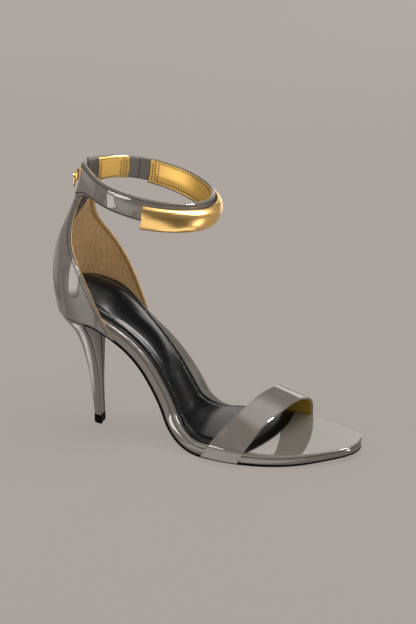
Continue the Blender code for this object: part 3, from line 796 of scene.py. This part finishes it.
def make_sock():
    sock = add_piece("padded_sock", slab(*SOCK_MESH, sock_place, square=SOCK_LAYER[6]), sock_leather,
                     nodes=["insole"], slot="black_sock_leather")

    def top(p, q):
        return sock_place(p, q, 1.0, 1.0)

    for side, name in SIDES:
        def line(t, side=side):
            p = lerp(*SOCK_SEAM, t)
            station = sock_station(p, SOCK_SEAM_SIDE * side)[0]
            return p, side * (1.0 - SOCK_STITCHES / sock_half_width(station, side))

        stitch_row(f"sock_stitches_{name}", path_on(top, line, SOCK_SEAM_STAND, 200), black_thread_painted_glint)


# Heel

HEEL_COLUMNS = [smooth_column(HEEL_SECTIONS, column) for column in (1, 2, 3)]


def heel_ring(p, height):
    """Point of the heel's section: round at the back, flat across the breast."""
    back, breast, half = (column(height) for column in HEEL_COLUMNS)
    share = min(abs(p) / HEEL_CORNER, 1.0) * math.pi / 2.0
    y = half * math.sin(share)
    hollow = 0.0
    if abs(p) > HEEL_CORNER:
        y = half * (1.0 - abs(p)) / (1.0 - HEEL_CORNER)
        hollow = BREAST_HOLLOW * half * (1.0 - (y / half) ** 2)
    return breast - hollow - (breast - back) * math.cos(share), math.copysign(y, p), height


def heel_top(p):
    """Height at which the heel meets the seat."""
    low, high = HEEL_SECTIONS[0][0], HEEL_SECTIONS[-1][0]
    while high - low > 0.001:
        middle = (low + high) / 2.0
        x = heel_ring(p, middle)[0]
        if middle < sole_point(station_at(x), -SEAT_GAP)[1]:
            low = middle
        else:
            high = middle
    return low


def make_heel():
    tops = {}

    def side(p, q):
        key = round(p, 5)
        if key not in tops:
            tops[key] = heel_top(p)
        return heel_ring(p, lerp(HEEL_SECTIONS[0][0], tops[key], (q + 1.0) / 2.0))

    heel = add_piece("heel_cover", tube(*HEEL_MESH, side), patent, nodes=["heel"], slot="grey_patent_heel")
    bevel(heel, HEEL_EDGE, angle=HEEL_EDGE_ANGLE)
    # Dark thread strips on the breast: the cover's seam at the lateral corner, and a painted dark reflection
    # across the medial half
    for i, seam in enumerate(BREAST_SEAM_AND_REFLECTION_LINES):
        def line(p, q, seam=seam):
            return Vector(side(seam + BREAST_LINE_HALF * p, lerp(*BREAST_LINE_RUN, (q + 1.0) / 2.0)))

        thread = wall(2, 60, line, *BREAST_LINE_WALL)
        add_piece(f"heel_seam_and_painted_reflection_{i}", thread, dark_thread, nodes=["heel"])

    def ring(p, q):
        x, y, _ = heel_ring(p, HEEL_SECTIONS[0][0])
        return x, y, HEEL_TIP_HEIGHT * (q + 1.0) / 2.0

    tip = add_piece("heel_tip_rubber", tube(*TIP_MESH, ring), rubber, nodes=["heel_tip"],
                    slot="black_tip_rubber")
    bevel(tip, TIP_EDGE)


# Upper

# Heights at which the zip slot's edge is worked out, and the height over which the slot opens at its foot
SLOT_HEIGHTS = np.linspace(ZIP_FOOT - 4.0, STRAP_TOP, 60)
SLOT_OPENING = 1.8


def slot_edge(height):
    """Angle at which the wall is as far from the back seam as the zip slot's edge."""
    low, high = 0.0, 40.0
    for _ in range(24):
        middle = (low + high) / 2.0
        if upper_place(middle, height).y < ZIP_SLOT:
            low = middle
        else:
            high = middle
    return low


SLOT_ANGLES = np.array([slot_edge(height) for height in SLOT_HEIGHTS])


def slot_angle(height):
    """Angle of the zip slot's edge; below its foot the two quarters meet in the back seam."""
    opening = ramp(height, ZIP_FOOT, ZIP_FOOT + SLOT_OPENING)
    return float(np.interp(height, SLOT_HEIGHTS, SLOT_ANGLES)) * opening


def front_angle(side, height):
    return COUNTER_LATERAL(height) if side < 0.0 else COUNTER_MEDIAL(height)


def quarter_length(side, height):
    """Millimetres from the zip slot to the front edge, measured with the wall's direction at that edge."""
    front = math.radians(front_angle(side, height))
    step = math.hypot(LOOP_HALF_LENGTH * math.sin(front), COUNTER_HALF(height) * math.cos(front))
    return (front - math.radians(slot_angle(height))) * step


def quarter_height(q):
    return lerp(COUNTER_ROWS[0][0], STEM_TOP, (q + 1.0) / 2.0)


def quarter_sheet(side, beyond=0.0):
    """Sheet of one quarter: p from the front edge to the back seam on the lateral side, and mirrored."""
    def sheet(p, q):
        height = quarter_height(q)
        share = (1.0 + side * p) / 2.0
        return upper_place(side * lerp(slot_angle(height), front_angle(side, height) + beyond, share), height)

    return sheet


def edge_strip(side, near, far, low, high):
    """Sheet of a strip along a quarter's front edge, from near to far millimetres behind it."""
    def sheet(p, q):
        height = lerp(low, high, (q + 1.0) / 2.0)
        share = (1.0 + side * p) / 2.0
        gap = lerp(far, near, share) / quarter_length(side, height)
        return upper_place(side * lerp(front_angle(side, height), slot_angle(height), gap), height)

    return sheet


# Quarters: degrees by which the lining stands past the front edge, stitches (from that edge, ends on the
# grid), binding (near and far from that edge, clear of foot and top, ends of its stitches), zip facing, and
# the dark strip along the facing's edge, which is its seam and a painted shadow of the gap beside it
LINING_BEYOND = 0.9
QUARTER_STITCHES = 2.5
QUARTER_SEAM = (-0.97, 0.9)
BINDING_REACH = (0.1, 3.8)
BINDING_ENDS = (1.0, 2.0)
BINDING_SEAM = 0.98
FACING_ANGLE = 24.0
FACING_FOOT = 120.0
FACING_NARROW = 0.6
FACING_SPREAD = (12.0, 8.0)
FACING_SHARES = (0.04, 1.0)
FACING_SEAM_SHADE_SHARES = (1.0, 1.07)


def stem_facing(side, start, end):
    """Sheet of the zip's facing inside the stem, a wedge that widens upwards, between two shares of it."""
    def sheet(p, q):
        height = lerp(FACING_FOOT, STEM_TOP, (q + 1.0) / 2.0)
        spread = ramp(height, FACING_FOOT - FACING_SPREAD[0], STEM_TOP + FACING_SPREAD[1])
        widen = FACING_NARROW + FACING_ANGLE * spread
        share = lerp(start, end, (1.0 + side * p) / 2.0)
        return upper_place(side * (slot_angle(height) + widen * share), height)

    return sheet


def make_quarters():
    for side, name in SIDES:
        sheet = quarter_sheet(side)
        outer = wall(60, 84, sheet, *QUARTER_WALL)
        add_piece(f"quarter_{name}", outer, patent, nodes=["upper"], slot="grey_patent_leather")
        lining = wall(44, 72, quarter_sheet(side, LINING_BEYOND), *COUNTER_LINING_WALL)
        add_piece(f"counter_lining_{name}", lining, twill, nodes=["upper"])

        def front_line(t, side=side):
            q = lerp(*QUARTER_SEAM, t)
            return side * (1.0 - 2.0 * QUARTER_STITCHES / quarter_length(side, quarter_height(q))), q

        stitches = path_on(sheet, front_line, -COUNTER_WALL - STITCH_STAND)
        stitch_row(f"quarter_stitches_{name}", stitches, dark_thread)
        foot, top = COUNTER_ROWS[0][0] + BINDING_ENDS[0], STEM_TOP - BINDING_ENDS[1]
        strip = edge_strip(side, *BINDING_REACH, foot, top)
        binding = wall(4, 72, strip, *BINDING_WALL)
        add_piece(f"edge_binding_{name}", binding, tan_leather, nodes=["upper"])
        seam = path_on(strip, lambda t: (0.0, lerp(-BINDING_SEAM, BINDING_SEAM, t)), BINDING_WALL[1])
        stitch_row(f"binding_stitches_{name}", seam, brown_thread)
        facing = wall(10, 40, stem_facing(side, *FACING_SHARES), *STEM_FACING_WALL)
        add_piece(f"stem_facing_{name}", facing, satin, nodes=["upper"])
        # A dark thread strip along the facing's wide edge: its seam, and painted shade of the gap beside it
        edge = wall(2, 40, stem_facing(side, *FACING_SEAM_SHADE_SHARES), *FACING_SEAM_SHADE_WALL)
        add_piece(f"facing_seam_and_painted_shade_{name}", edge, dark_thread, nodes=["upper"])


def strap_sheet(start, end, low=0.0, high=1.0):
    """Sheet of the strap between two angles, each a number or a function of the share of its height."""
    def sheet(p, q):
        share = lerp(low, high, (q + 1.0) / 2.0)
        first = start(share) if callable(start) else start
        last = end(share) if callable(end) else end
        return strap_place(lerp(first, last, (p + 1.0) / 2.0), share)

    return sheet


# Strap: angle where its height is read for the zip slot, fullness, rows of stitches (name, share of the half
# height) and their ends. Facing, hems and gaps are in degrees, heights are shares of the strap's height, and
# the lining's stitches run inside its edge
STRAP_SLOT_AT = 12.0
STRAP_CROWN = 0.5
STRAP_STITCHES = (("top", 0.8), ("low", -0.84))
STRAP_SEAM = 0.985
FACING_END = 33.0
END_GAP = 0.4
HEM = 4.9
HEM_GAP = 0.6
LINING_HEIGHT = (0.05, 0.955)
FACING_HEIGHT = (0.03, 0.96)
LINING_SEAM = 0.84
LINING_SEAM_INSET = 2.6
LOOP_RADIUS = 36.0
HEM_SEAM = 0.9


def lateral_slot(share):
    return -slot_angle(strap_level(STRAP_SLOT_AT, share))


def medial_slot(share):
    return slot_angle(strap_level(STRAP_SLOT_AT, share))


def strap_crown(p, q):
    """The strap is a little fuller along its middle."""
    return -STRAP_CROWN * (1.0 - q * q)


def make_strap():
    bands = (
        ("lateral", GORE_TO - 360.0, lateral_slot, 220),
        ("medial", medial_slot, GORE_FROM, 60),
    )
    for name, start, end, columns in bands:
        sheet = strap_sheet(start, end)
        band = wall(columns, 14, sheet, *ANKLE_STRAP_WALL, swell=strap_crown)
        add_piece(f"ankle_strap_{name}", band, patent, nodes=["upper"], slot="grey_patent_leather")
        for edge, level in STRAP_STITCHES:
            def line(t, level=level):
                return lerp(-STRAP_SEAM, STRAP_SEAM, t), level

            path = path_on(sheet, line, -STRAP_OUT - STITCH_STAND, 300, strap_crown)
            stitch_row(f"strap_{edge}_stitches_{name}", path, dark_thread)
    gore_end = GORE_TO - 360.0
    panels = (
        ("front", gore_end + HEM + HEM_GAP, -FACING_END, 150),
        ("front_hem", gore_end + END_GAP, gore_end + HEM, 8),
        ("back", FACING_END, GORE_FROM - HEM - HEM_GAP, 24),
        ("back_hem", GORE_FROM - HEM, GORE_FROM - END_GAP, 8),
    )
    for name, start, end, columns in panels:
        sheet = strap_sheet(start, end, *LINING_HEIGHT)
        panel = wall(columns, 8, sheet, *STRAP_LINING_WALL)
        add_piece(f"strap_lining_{name}", panel, foil, nodes=["upper"])
        if name.endswith("hem"):
            lines = [lambda t: (0.0, lerp(-HEM_SEAM, HEM_SEAM, t))]
        else:
            far = 1.0 - LINING_SEAM_INSET / (math.radians(end - start) * LOOP_RADIUS)
            lines = [
                lambda t, r=far: (lerp(-r, r, t), LINING_SEAM),
                lambda t, r=far: (lerp(-r, r, t), -LINING_SEAM),
                lambda t, r=far: (-r, lerp(-LINING_SEAM, LINING_SEAM, t)),
                lambda t, r=far: (r, lerp(-LINING_SEAM, LINING_SEAM, t)),
            ]
        steps = 240 if name == "front" else 60
        for i, line in enumerate(lines):
            stitch_row(f"lining_stitches_{name}_{i}", path_on(sheet, line, -STRAP_IN, steps), brown_thread)
    facing_end = FACING_END - END_GAP
    for name, start, end in (("lateral", -facing_end, lateral_slot), ("medial", medial_slot, facing_end)):
        facing = wall(16, 8, strap_sheet(start, end, *FACING_HEIGHT), *ZIP_FACING_WALL)
        add_piece(f"zip_facing_{name}", facing, satin, nodes=["upper"])


# Elastic: half angles of the piece and of its seam, and the shares of the strap's height that it covers
GORE_HALF = 9.6
GORE_SEAM_HALF = 0.35
GORE_HEIGHT = (0.04, 0.96)


def make_gore():
    middle = (GORE_FROM + GORE_TO) / 2.0
    gore = wall(60, 8, strap_sheet(middle - GORE_HALF, middle + GORE_HALF, *GORE_HEIGHT), *GORE_WALL)
    add_piece("elastic_gore", gore, elastic, nodes=["strap_gore"], slot="grey_elastic")
    seam = strap_sheet(middle - GORE_SEAM_HALF, middle + GORE_SEAM_HALF, *GORE_HEIGHT)
    add_piece("gore_seam", wall(2, 8, seam, *GORE_SEAM_WALL), dark_thread, nodes=["strap_gore"])


def make_cuff():
    first, last = CUFF_STATIONS[0][0], CUFF_STATIONS[-1][0]
    height, drop, stand, dome = (smooth_column(CUFF_STATIONS, column) for column in (1, 2, 3, 4))

    def place(p, q):
        turn = lerp(first, last, (q + 1.0) / 2.0)
        section = math.pi * p
        out = max(math.sin(section), 0.0) ** CUFF_BULGE * dome(turn)
        level = STRAP_TOP - drop(turn) - height(turn) * (1.0 - math.cos(section)) / 2.0
        return upper_place(-turn, level, -(STRAP_OUT + GAP + stand(turn)) - out)

    cuff = add_piece("gold_cuff_plate", tube(*CUFF_MESH, place), gold, nodes=["cuff_plate"],
                     slot="polished_gold_plate")
    bevel(cuff, CUFF_EDGE, segments=4)


TOE_ROWS = [(float(i), *row) for i, row in enumerate(TOE_STRAP_ROWS)]
TOE_COLUMNS = [smooth_column(TOE_ROWS, column) for column in (1, 2, 3, 4, 5)]


def toe_strap_sheet(low=0.0, high=1.0, foot=0.0):
    """Sheet of the toe strap, p from its rear to its front edge and q from the lateral to the medial foot."""
    y_at, rear_z, front_z, rear_x, front_x = TOE_COLUMNS
    last = len(TOE_ROWS) - 1

    def sheet(p, q):
        step = lerp(foot, last - foot, (q + 1.0) / 2.0)
        share = lerp(low, high, (p + 1.0) / 2.0)
        x = lerp(rear_x(step), front_x(step), share)
        z = lerp(rear_z(step), front_z(step), share)
        lateral_foot, medial_foot = -TOE_STRAP_ROWS[0][0], TOE_STRAP_ROWS[-1][0]
        y = min(max(y_at(step), -lateral_foot), medial_foot)
        reach = lateral_foot if y < 0.0 else medial_foot
        rim = sole_width(station_at(x), y) + TOE_STRAP_CLEARANCE
        return Vector((x, y + math.copysign(1.0, y) * (rim - reach) * (abs(y) / reach) ** TOE_STRAP_HUG, z))

    return sheet


def make_toe_strap():
    outer = wall(14, 110, toe_strap_sheet(), *TOE_PATENT_WALL)
    add_piece("toe_strap_patent", outer, patent, nodes=["toe_strap"], slot="grey_patent_strap")
    lining = wall(10, 110, toe_strap_sheet(*TOE_LINING_WIDTH, TOE_LINING_FOOT), *TOE_LINING_WALL)
    add_piece("toe_strap_lining", lining, olive, nodes=["toe_strap"])


# Zip

def zip_place(across, height, depth):
    """Point on the back seam: across it, up it, and outward from the counter's inner face."""
    back = upper_place(0.0, height)
    return Vector((back.x - depth, across, back.z))


def make_zip():
    def tape_sheet(side):
        def sheet(p, q):
            across = side * lerp(*ZIP_TAPE_REACH, (p + 1.0) / 2.0)
            return zip_place(across, lerp(ZIP_FOOT + GAP, ZIP_HEAD, (q + 1.0) / 2.0), 0.0)

        return sheet

    for side, name in SIDES:
        inner, outer = (-side * depth for depth in ZIP_TAPE_DEPTH)
        tape = wall(4, 40, tape_sheet(side), inner, outer, ZIP_TAPE_RIM)
        add_piece(f"zip_tape_{name}", tape, elastic, nodes=["zip_tape"], slot="grey_zip_tape")
    spots = []
    for i in range(int((ZIP_HEAD - ZIP_FOOT - ZIP_TOOTH_SPARE) / ZIP_TOOTH_PITCH)):
        height = ZIP_FOOT + ZIP_TOOTH_FIRST + ZIP_TOOTH_PITCH * i
        side = 1.0 if i % 2 else -1.0
        up = (zip_place(0.0, height + 0.5, 0.0) - zip_place(0.0, height - 0.5, 0.0)).normalized()
        out = Vector((-up.z, 0.0, up.x))
        origin = zip_place(side * ZIP_TOOTH_OFFSET, height, ZIP_TEETH_DEPTH + ZIP_TOOTH[0] / 2.0)
        spots.append((origin, out, Vector((0.0, side, 0.0)), up))
    tooth = box(ZIP_TOOTH, (0.0, 0.0, 0.0))
    round_edges(tooth, tooth.edges[:], ZIP_TOOTH_EDGE)
    bmesh.ops.triangulate(tooth, faces=tooth.faces)
    tooth.verts.index_update()
    joined_copies("zip_brass_teeth", tooth, spots, zip_brass, nodes=["zip_teeth"], slot="gold_zip_teeth")


def make_slider_and_pull():
    low = zip_place(0.0, SLIDER_HEIGHT - SLIDER_SIZE[2] / 2.0, 0.0)
    high = zip_place(0.0, SLIDER_HEIGHT + SLIDER_SIZE[2] / 2.0, 0.0)
    lean = math.atan2(high.x - low.x, high.z - low.z)
    outward = Vector((-math.cos(lean), 0.0, math.sin(lean)))
    axis = (low + high) / 2.0 + outward * SLIDER_STAND
    turn = Matrix.Translation(axis) @ Matrix.Rotation(lean, 4, "Y")

    def set_on_axis(bm):
        bmesh.ops.transform(bm, matrix=Matrix.Scale(MM, 4) @ turn, verts=bm.verts)

    slider = box(SLIDER_SIZE, (PIN_STAND + SLIDER_SIZE[0] / 2.0, 0.0, 0.0))
    corners = [edge for edge in slider.edges if edge.calc_length() < 1.5 * SLIDER_SIZE[0]]
    round_edges(slider, corners, SLIDER_CORNER, segments=6)
    round_edges(slider, slider.edges[:], SLIDER_EDGE)
    lug_y = PULL_WIDTH / 2.0 + GAP + LUG_SIZE[1] / 2.0
    for side, _ in SIDES:
        lug = box(LUG_SIZE, (LUG_SIZE[0] / 2.0 - LUG_NOSE, side * lug_y, 0.0))
        round_edges(lug, lug.edges[:], LUG_EDGE)
        merge_into(slider, lug)
    across = Matrix.Rotation(math.pi / 2.0, 4, "X")
    bmesh.ops.create_cone(slider, cap_ends=True, segments=20, radius1=PIN_RADIUS, radius2=PIN_RADIUS,
                          depth=2.0 * lug_y, matrix=across)
    set_on_axis(slider)
    add_piece("zip_slider_brass", slider, zip_brass, nodes=["zip_slider"], slot="gold_zip_slider")

    def squared(value, power):
        return math.copysign(abs(value) ** power, value)

    def eye(around, section):
        reach = (EYE_RADIUS + EYE_HOLE + (EYE_RADIUS - EYE_HOLE) * math.cos(section)) / 2.0
        flat = squared(math.sin(section), EYE_FLAT) * PULL_WIDTH / 2.0
        return reach * math.cos(around), flat, reach * math.sin(around)

    def loop(around, section):
        thin = PULL_WIRE * (math.cos(section) - 1.0)
        y = (PULL_TAB_WIDTH / 2.0 + thin) * squared(math.sin(around), PULL_SQUARE)
        z = ((PULL_LENGTH - EYE_RADIUS) / 2.0 + thin) * squared(math.cos(around), PULL_SQUARE)
        return PULL_THICKNESS / 2.0 * math.sin(section), y, z - (PULL_LENGTH + EYE_HOLE) / 2.0

    pull = bmesh.new()
    for ring, columns, rows in ((eye, 32, 16), (loop, 48, 12)):
        wire = bmesh.new()
        bmesh.ops.create_grid(wire, x_segments=columns, y_segments=rows, size=1.0)
        for vert in wire.verts:
            vert.co = ring(math.pi * vert.co.x, math.pi * vert.co.y)
        bmesh.ops.remove_doubles(wire, verts=wire.verts, dist=WELD)
        merge_into(pull, wire)
    bmesh.ops.recalc_face_normals(pull, faces=pull.faces)
    set_on_axis(pull)
    add_piece("zip_pull_brass", pull, zip_brass, body="pull_tab", nodes=["zip_pull"], slot="gold_zip_pull")


# Stage, light and camera

FLOOR_HALF = 3.0
FLOOR_GLOW = 0.80
AIR_GLOW = 0.12


def empty_material(name):
    material = bpy.data.materials.new(name)
    material.use_nodes = True
    material.node_tree.nodes.clear()
    return material


def make_stage():
    """A pale floor that glows a little, so that it stays even and still takes the shoe's shadow."""
    material = empty_material("painted_studio_floor")
    glow = add_node(material, "ShaderNodeEmission", {"Color": colour("aaa29d"), "Strength": FLOOR_GLOW})
    matt = add_node(material, "ShaderNodeBsdfDiffuse", {"Color": colour("63605e")})
    both = add_node(material, "ShaderNodeAddShader", {},
                    {0: glow.outputs["Emission"], 1: matt.outputs["BSDF"]})
    add_node(material, "ShaderNodeOutputMaterial", {}, {"Surface": both.outputs["Shader"]})
    bm = bmesh.new()
    bmesh.ops.create_grid(bm, x_segments=1, y_segments=1, size=FLOOR_HALF)
    add_object("studio_floor", bm, material)


def soft_panel(name, place, aim, size, strength, fade, seen):
    """A glowing studio panel, in metres, whose light fades out towards its edges. The camera doesn't see it.
    A card only shows in glossy surfaces and lights nothing else, and a fill only lights matt ones."""
    material = empty_material(name)
    where = add_node(material, "ShaderNodeTexCoord")
    unit = add_node(material, "ShaderNodeMapping", {"Scale": (2.0 / size[0], 2.0 / size[1], 1.0)},
                    {"Vector": where.outputs["Object"]})
    split = add_node(material, "ShaderNodeSeparateXYZ", {}, {"Vector": unit.outputs["Vector"]})
    shares = []
    for axis in ("X", "Y"):
        away = add_node(material, "ShaderNodeMath", {}, {0: split.outputs[axis]}, operation="ABSOLUTE")
        limits = {"From Min": 1.0, "From Max": 1.0 - fade}
        shares.append(add_node(material, "ShaderNodeMapRange", limits, {"Value": away.outputs["Value"]},
                               interpolation_type="SMOOTHSTEP"))
    ends = {i: share.outputs["Result"] for i, share in enumerate(shares)}
    both = add_node(material, "ShaderNodeMath", {}, ends, operation="MULTIPLY")
    level = add_node(material, "ShaderNodeMath", {1: strength}, {0: both.outputs["Value"]},
                     operation="MULTIPLY")
    glow = add_node(material, "ShaderNodeEmission", {"Color": colour("fffaf4")},
                    {"Strength": level.outputs["Value"]})
    add_node(material, "ShaderNodeOutputMaterial", {}, {"Surface": glow.outputs["Emission"]})
    bm = bmesh.new()
    bmesh.ops.create_grid(bm, x_segments=1, y_segments=1, size=0.5)
    bmesh.ops.scale(bm, vec=(size[0], size[1], 1.0), verts=bm.verts)
    panel = add_object(name, bm, material)
    panel.location = place
    if aim != UPWARD:
        facing = Vector(aim) - Vector(place)
        panel.rotation_euler = facing.to_track_quat("-Z", "Y").to_euler()
    panel.visible_camera = False
    panel.visible_diffuse = seen != "card"
    panel.visible_shadow = seen != "card"
    panel.visible_glossy = seen != "fill"


# Panels: name, place, what it faces, size in metres, strength, share of the half size over which the light
# fades, and what it does. The white table in front of the shoe and a dark stretch beyond it are cards.
SHOE_MIDDLE = (0.05, 0.0, 0.09)
UPWARD = (0.0, 0.0, 1000.0)
PANELS = (
    ("panel_overhead", (0.35, 0.15, 1.05), SHOE_MIDDLE, (1.3, 1.0), 2.8, 0.6, "light"),
    ("panel_front", (0.4, -1.2, 1.3), SHOE_MIDDLE, (1.8, 0.8), 1.5, 0.6, "light"),
    ("panel_fill", (0.2, -1.1, 0.35), SHOE_MIDDLE, (1.6, 0.6), 1.05, 0.3, "fill"),
    ("panel_left", (-0.80, -0.22, 0.42), SHOE_MIDDLE, (0.30, 0.75), 4.0, 0.5, "fill"),
    ("panel_back", (-0.57, 1.13, 0.48), SHOE_MIDDLE, (1.32, 0.75), 2.1, 0.25, "light"),
    ("panel_back_low", (0.17, 1.10, 0.28), SHOE_MIDDLE, (0.40, 0.46), 2.2, 0.2, "light"),
    ("card_ridge", (0.713, -0.058, 0.728), SHOE_MIDDLE, (0.18, 0.80), 110.0, 0.4, "card"),
    ("card_horizon", (0.32, 0.95, 0.07), (0.04, 0.0, 0.07), (0.60, 0.14), 2.5, 0.3, "card"),
    ("card_side", (1.0, 0.40, 0.2), SHOE_MIDDLE, (0.5, 0.4), 0.8, 0.4, "card"),
    ("card_table", (0.045, -0.16, 0.0006), UPWARD, (0.16, 0.22), 1.2, 0.3, "card"),
    ("card_table_left", (-0.17, -0.30, 0.0005), UPWARD, (0.60, 0.48), 2.2, 0.8, "card"),
    ("card_table_sole", (0.11, -0.052, 0.0008), UPWARD, (0.17, 0.03), 2.8, 0.4, "card"),
    ("card_table_dark", (0.45, -0.55, 0.0003), UPWARD, (0.66, 0.96), 0.10, 0.1, "card"),
    ("card_table_right", (0.35, -0.05, 0.0009), UPWARD, (0.16, 0.10), 3.0, 0.4, "card"),
    ("card_table_back", (0.05, 0.55, 0.0004), UPWARD, (0.60, 0.50), 1.3, 0.3, "card"),
    ("card_table_rim", (-0.45, 0.25, 0.0004), UPWARD, (0.50, 0.50), 0.6, 0.3, "card"),
    ("card_strap", (-0.229, -0.365, 0.075), (0.03, -0.034, 0.075), (0.38, 0.07), 12.0, 0.2, "card"),
    ("card_quarter", (-0.178, -0.165, 0.055), (-0.01, -0.024, 0.118), (0.10, 0.100), 6.0, 0.35, "card"),
    ("card_heel", (-0.058, -0.012, 0.001), UPWARD, (0.06, 0.09), 3.4, 0.9, "card"),
    ("card_right", (0.25, -0.05, 0.003), UPWARD, (0.08, 0.06), 8.0, 0.6, "card"),
)


def make_light():
    world = bpy.data.worlds.new("studio_air")
    world.use_nodes = True
    air = world.node_tree.nodes["Background"]
    air.inputs["Color"].default_value = colour("ffffff")
    air.inputs["Strength"].default_value = AIR_GLOW
    bpy.context.scene.world = world
    for panel in PANELS:
        soft_panel(*panel)


def make_camera():
    azimuth, elevation = math.radians(CAMERA_AZIMUTH), math.radians(CAMERA_ELEVATION)
    right = Vector((math.cos(azimuth), math.sin(azimuth), 0.0))
    back = Vector((math.sin(azimuth) * math.cos(elevation), -math.cos(azimuth) * math.cos(elevation),
                   math.sin(elevation)))
    up = back.cross(right)
    shift_x = (TIP_PIXEL[0] - PHOTO_SIZE[0] / 2.0) / PIXELS_PER_MM
    shift_y = -(TIP_PIXEL[1] - PHOTO_SIZE[1] / 2.0) / PIXELS_PER_MM
    place = (back * CAMERA_DISTANCE - right * shift_x - up * shift_y) * MM
    lens = bpy.data.cameras.new("photo_camera")
    lens.sensor_width = SENSOR
    lens.lens = PIXELS_PER_MM * CAMERA_DISTANCE * SENSOR / max(PHOTO_SIZE)
    camera = bpy.data.objects.new("photo_camera", lens)
    camera.matrix_world = Matrix((
        (right.x, up.x, back.x, place.x),
        (right.y, up.y, back.y, place.y),
        (right.z, up.z, back.z, place.z),
        (0.0, 0.0, 0.0, 1.0),
    ))
    bpy.context.scene.collection.objects.link(camera)
    bpy.context.scene.camera = camera
    bpy.context.scene.view_settings.view_transform = "Standard"


make_sole()
make_sock()
make_heel()
make_quarters()
make_strap()
make_gore()
make_cuff()
make_toe_strap()
make_zip()
make_slider_and_pull()
make_stage()
make_light()
make_camera()
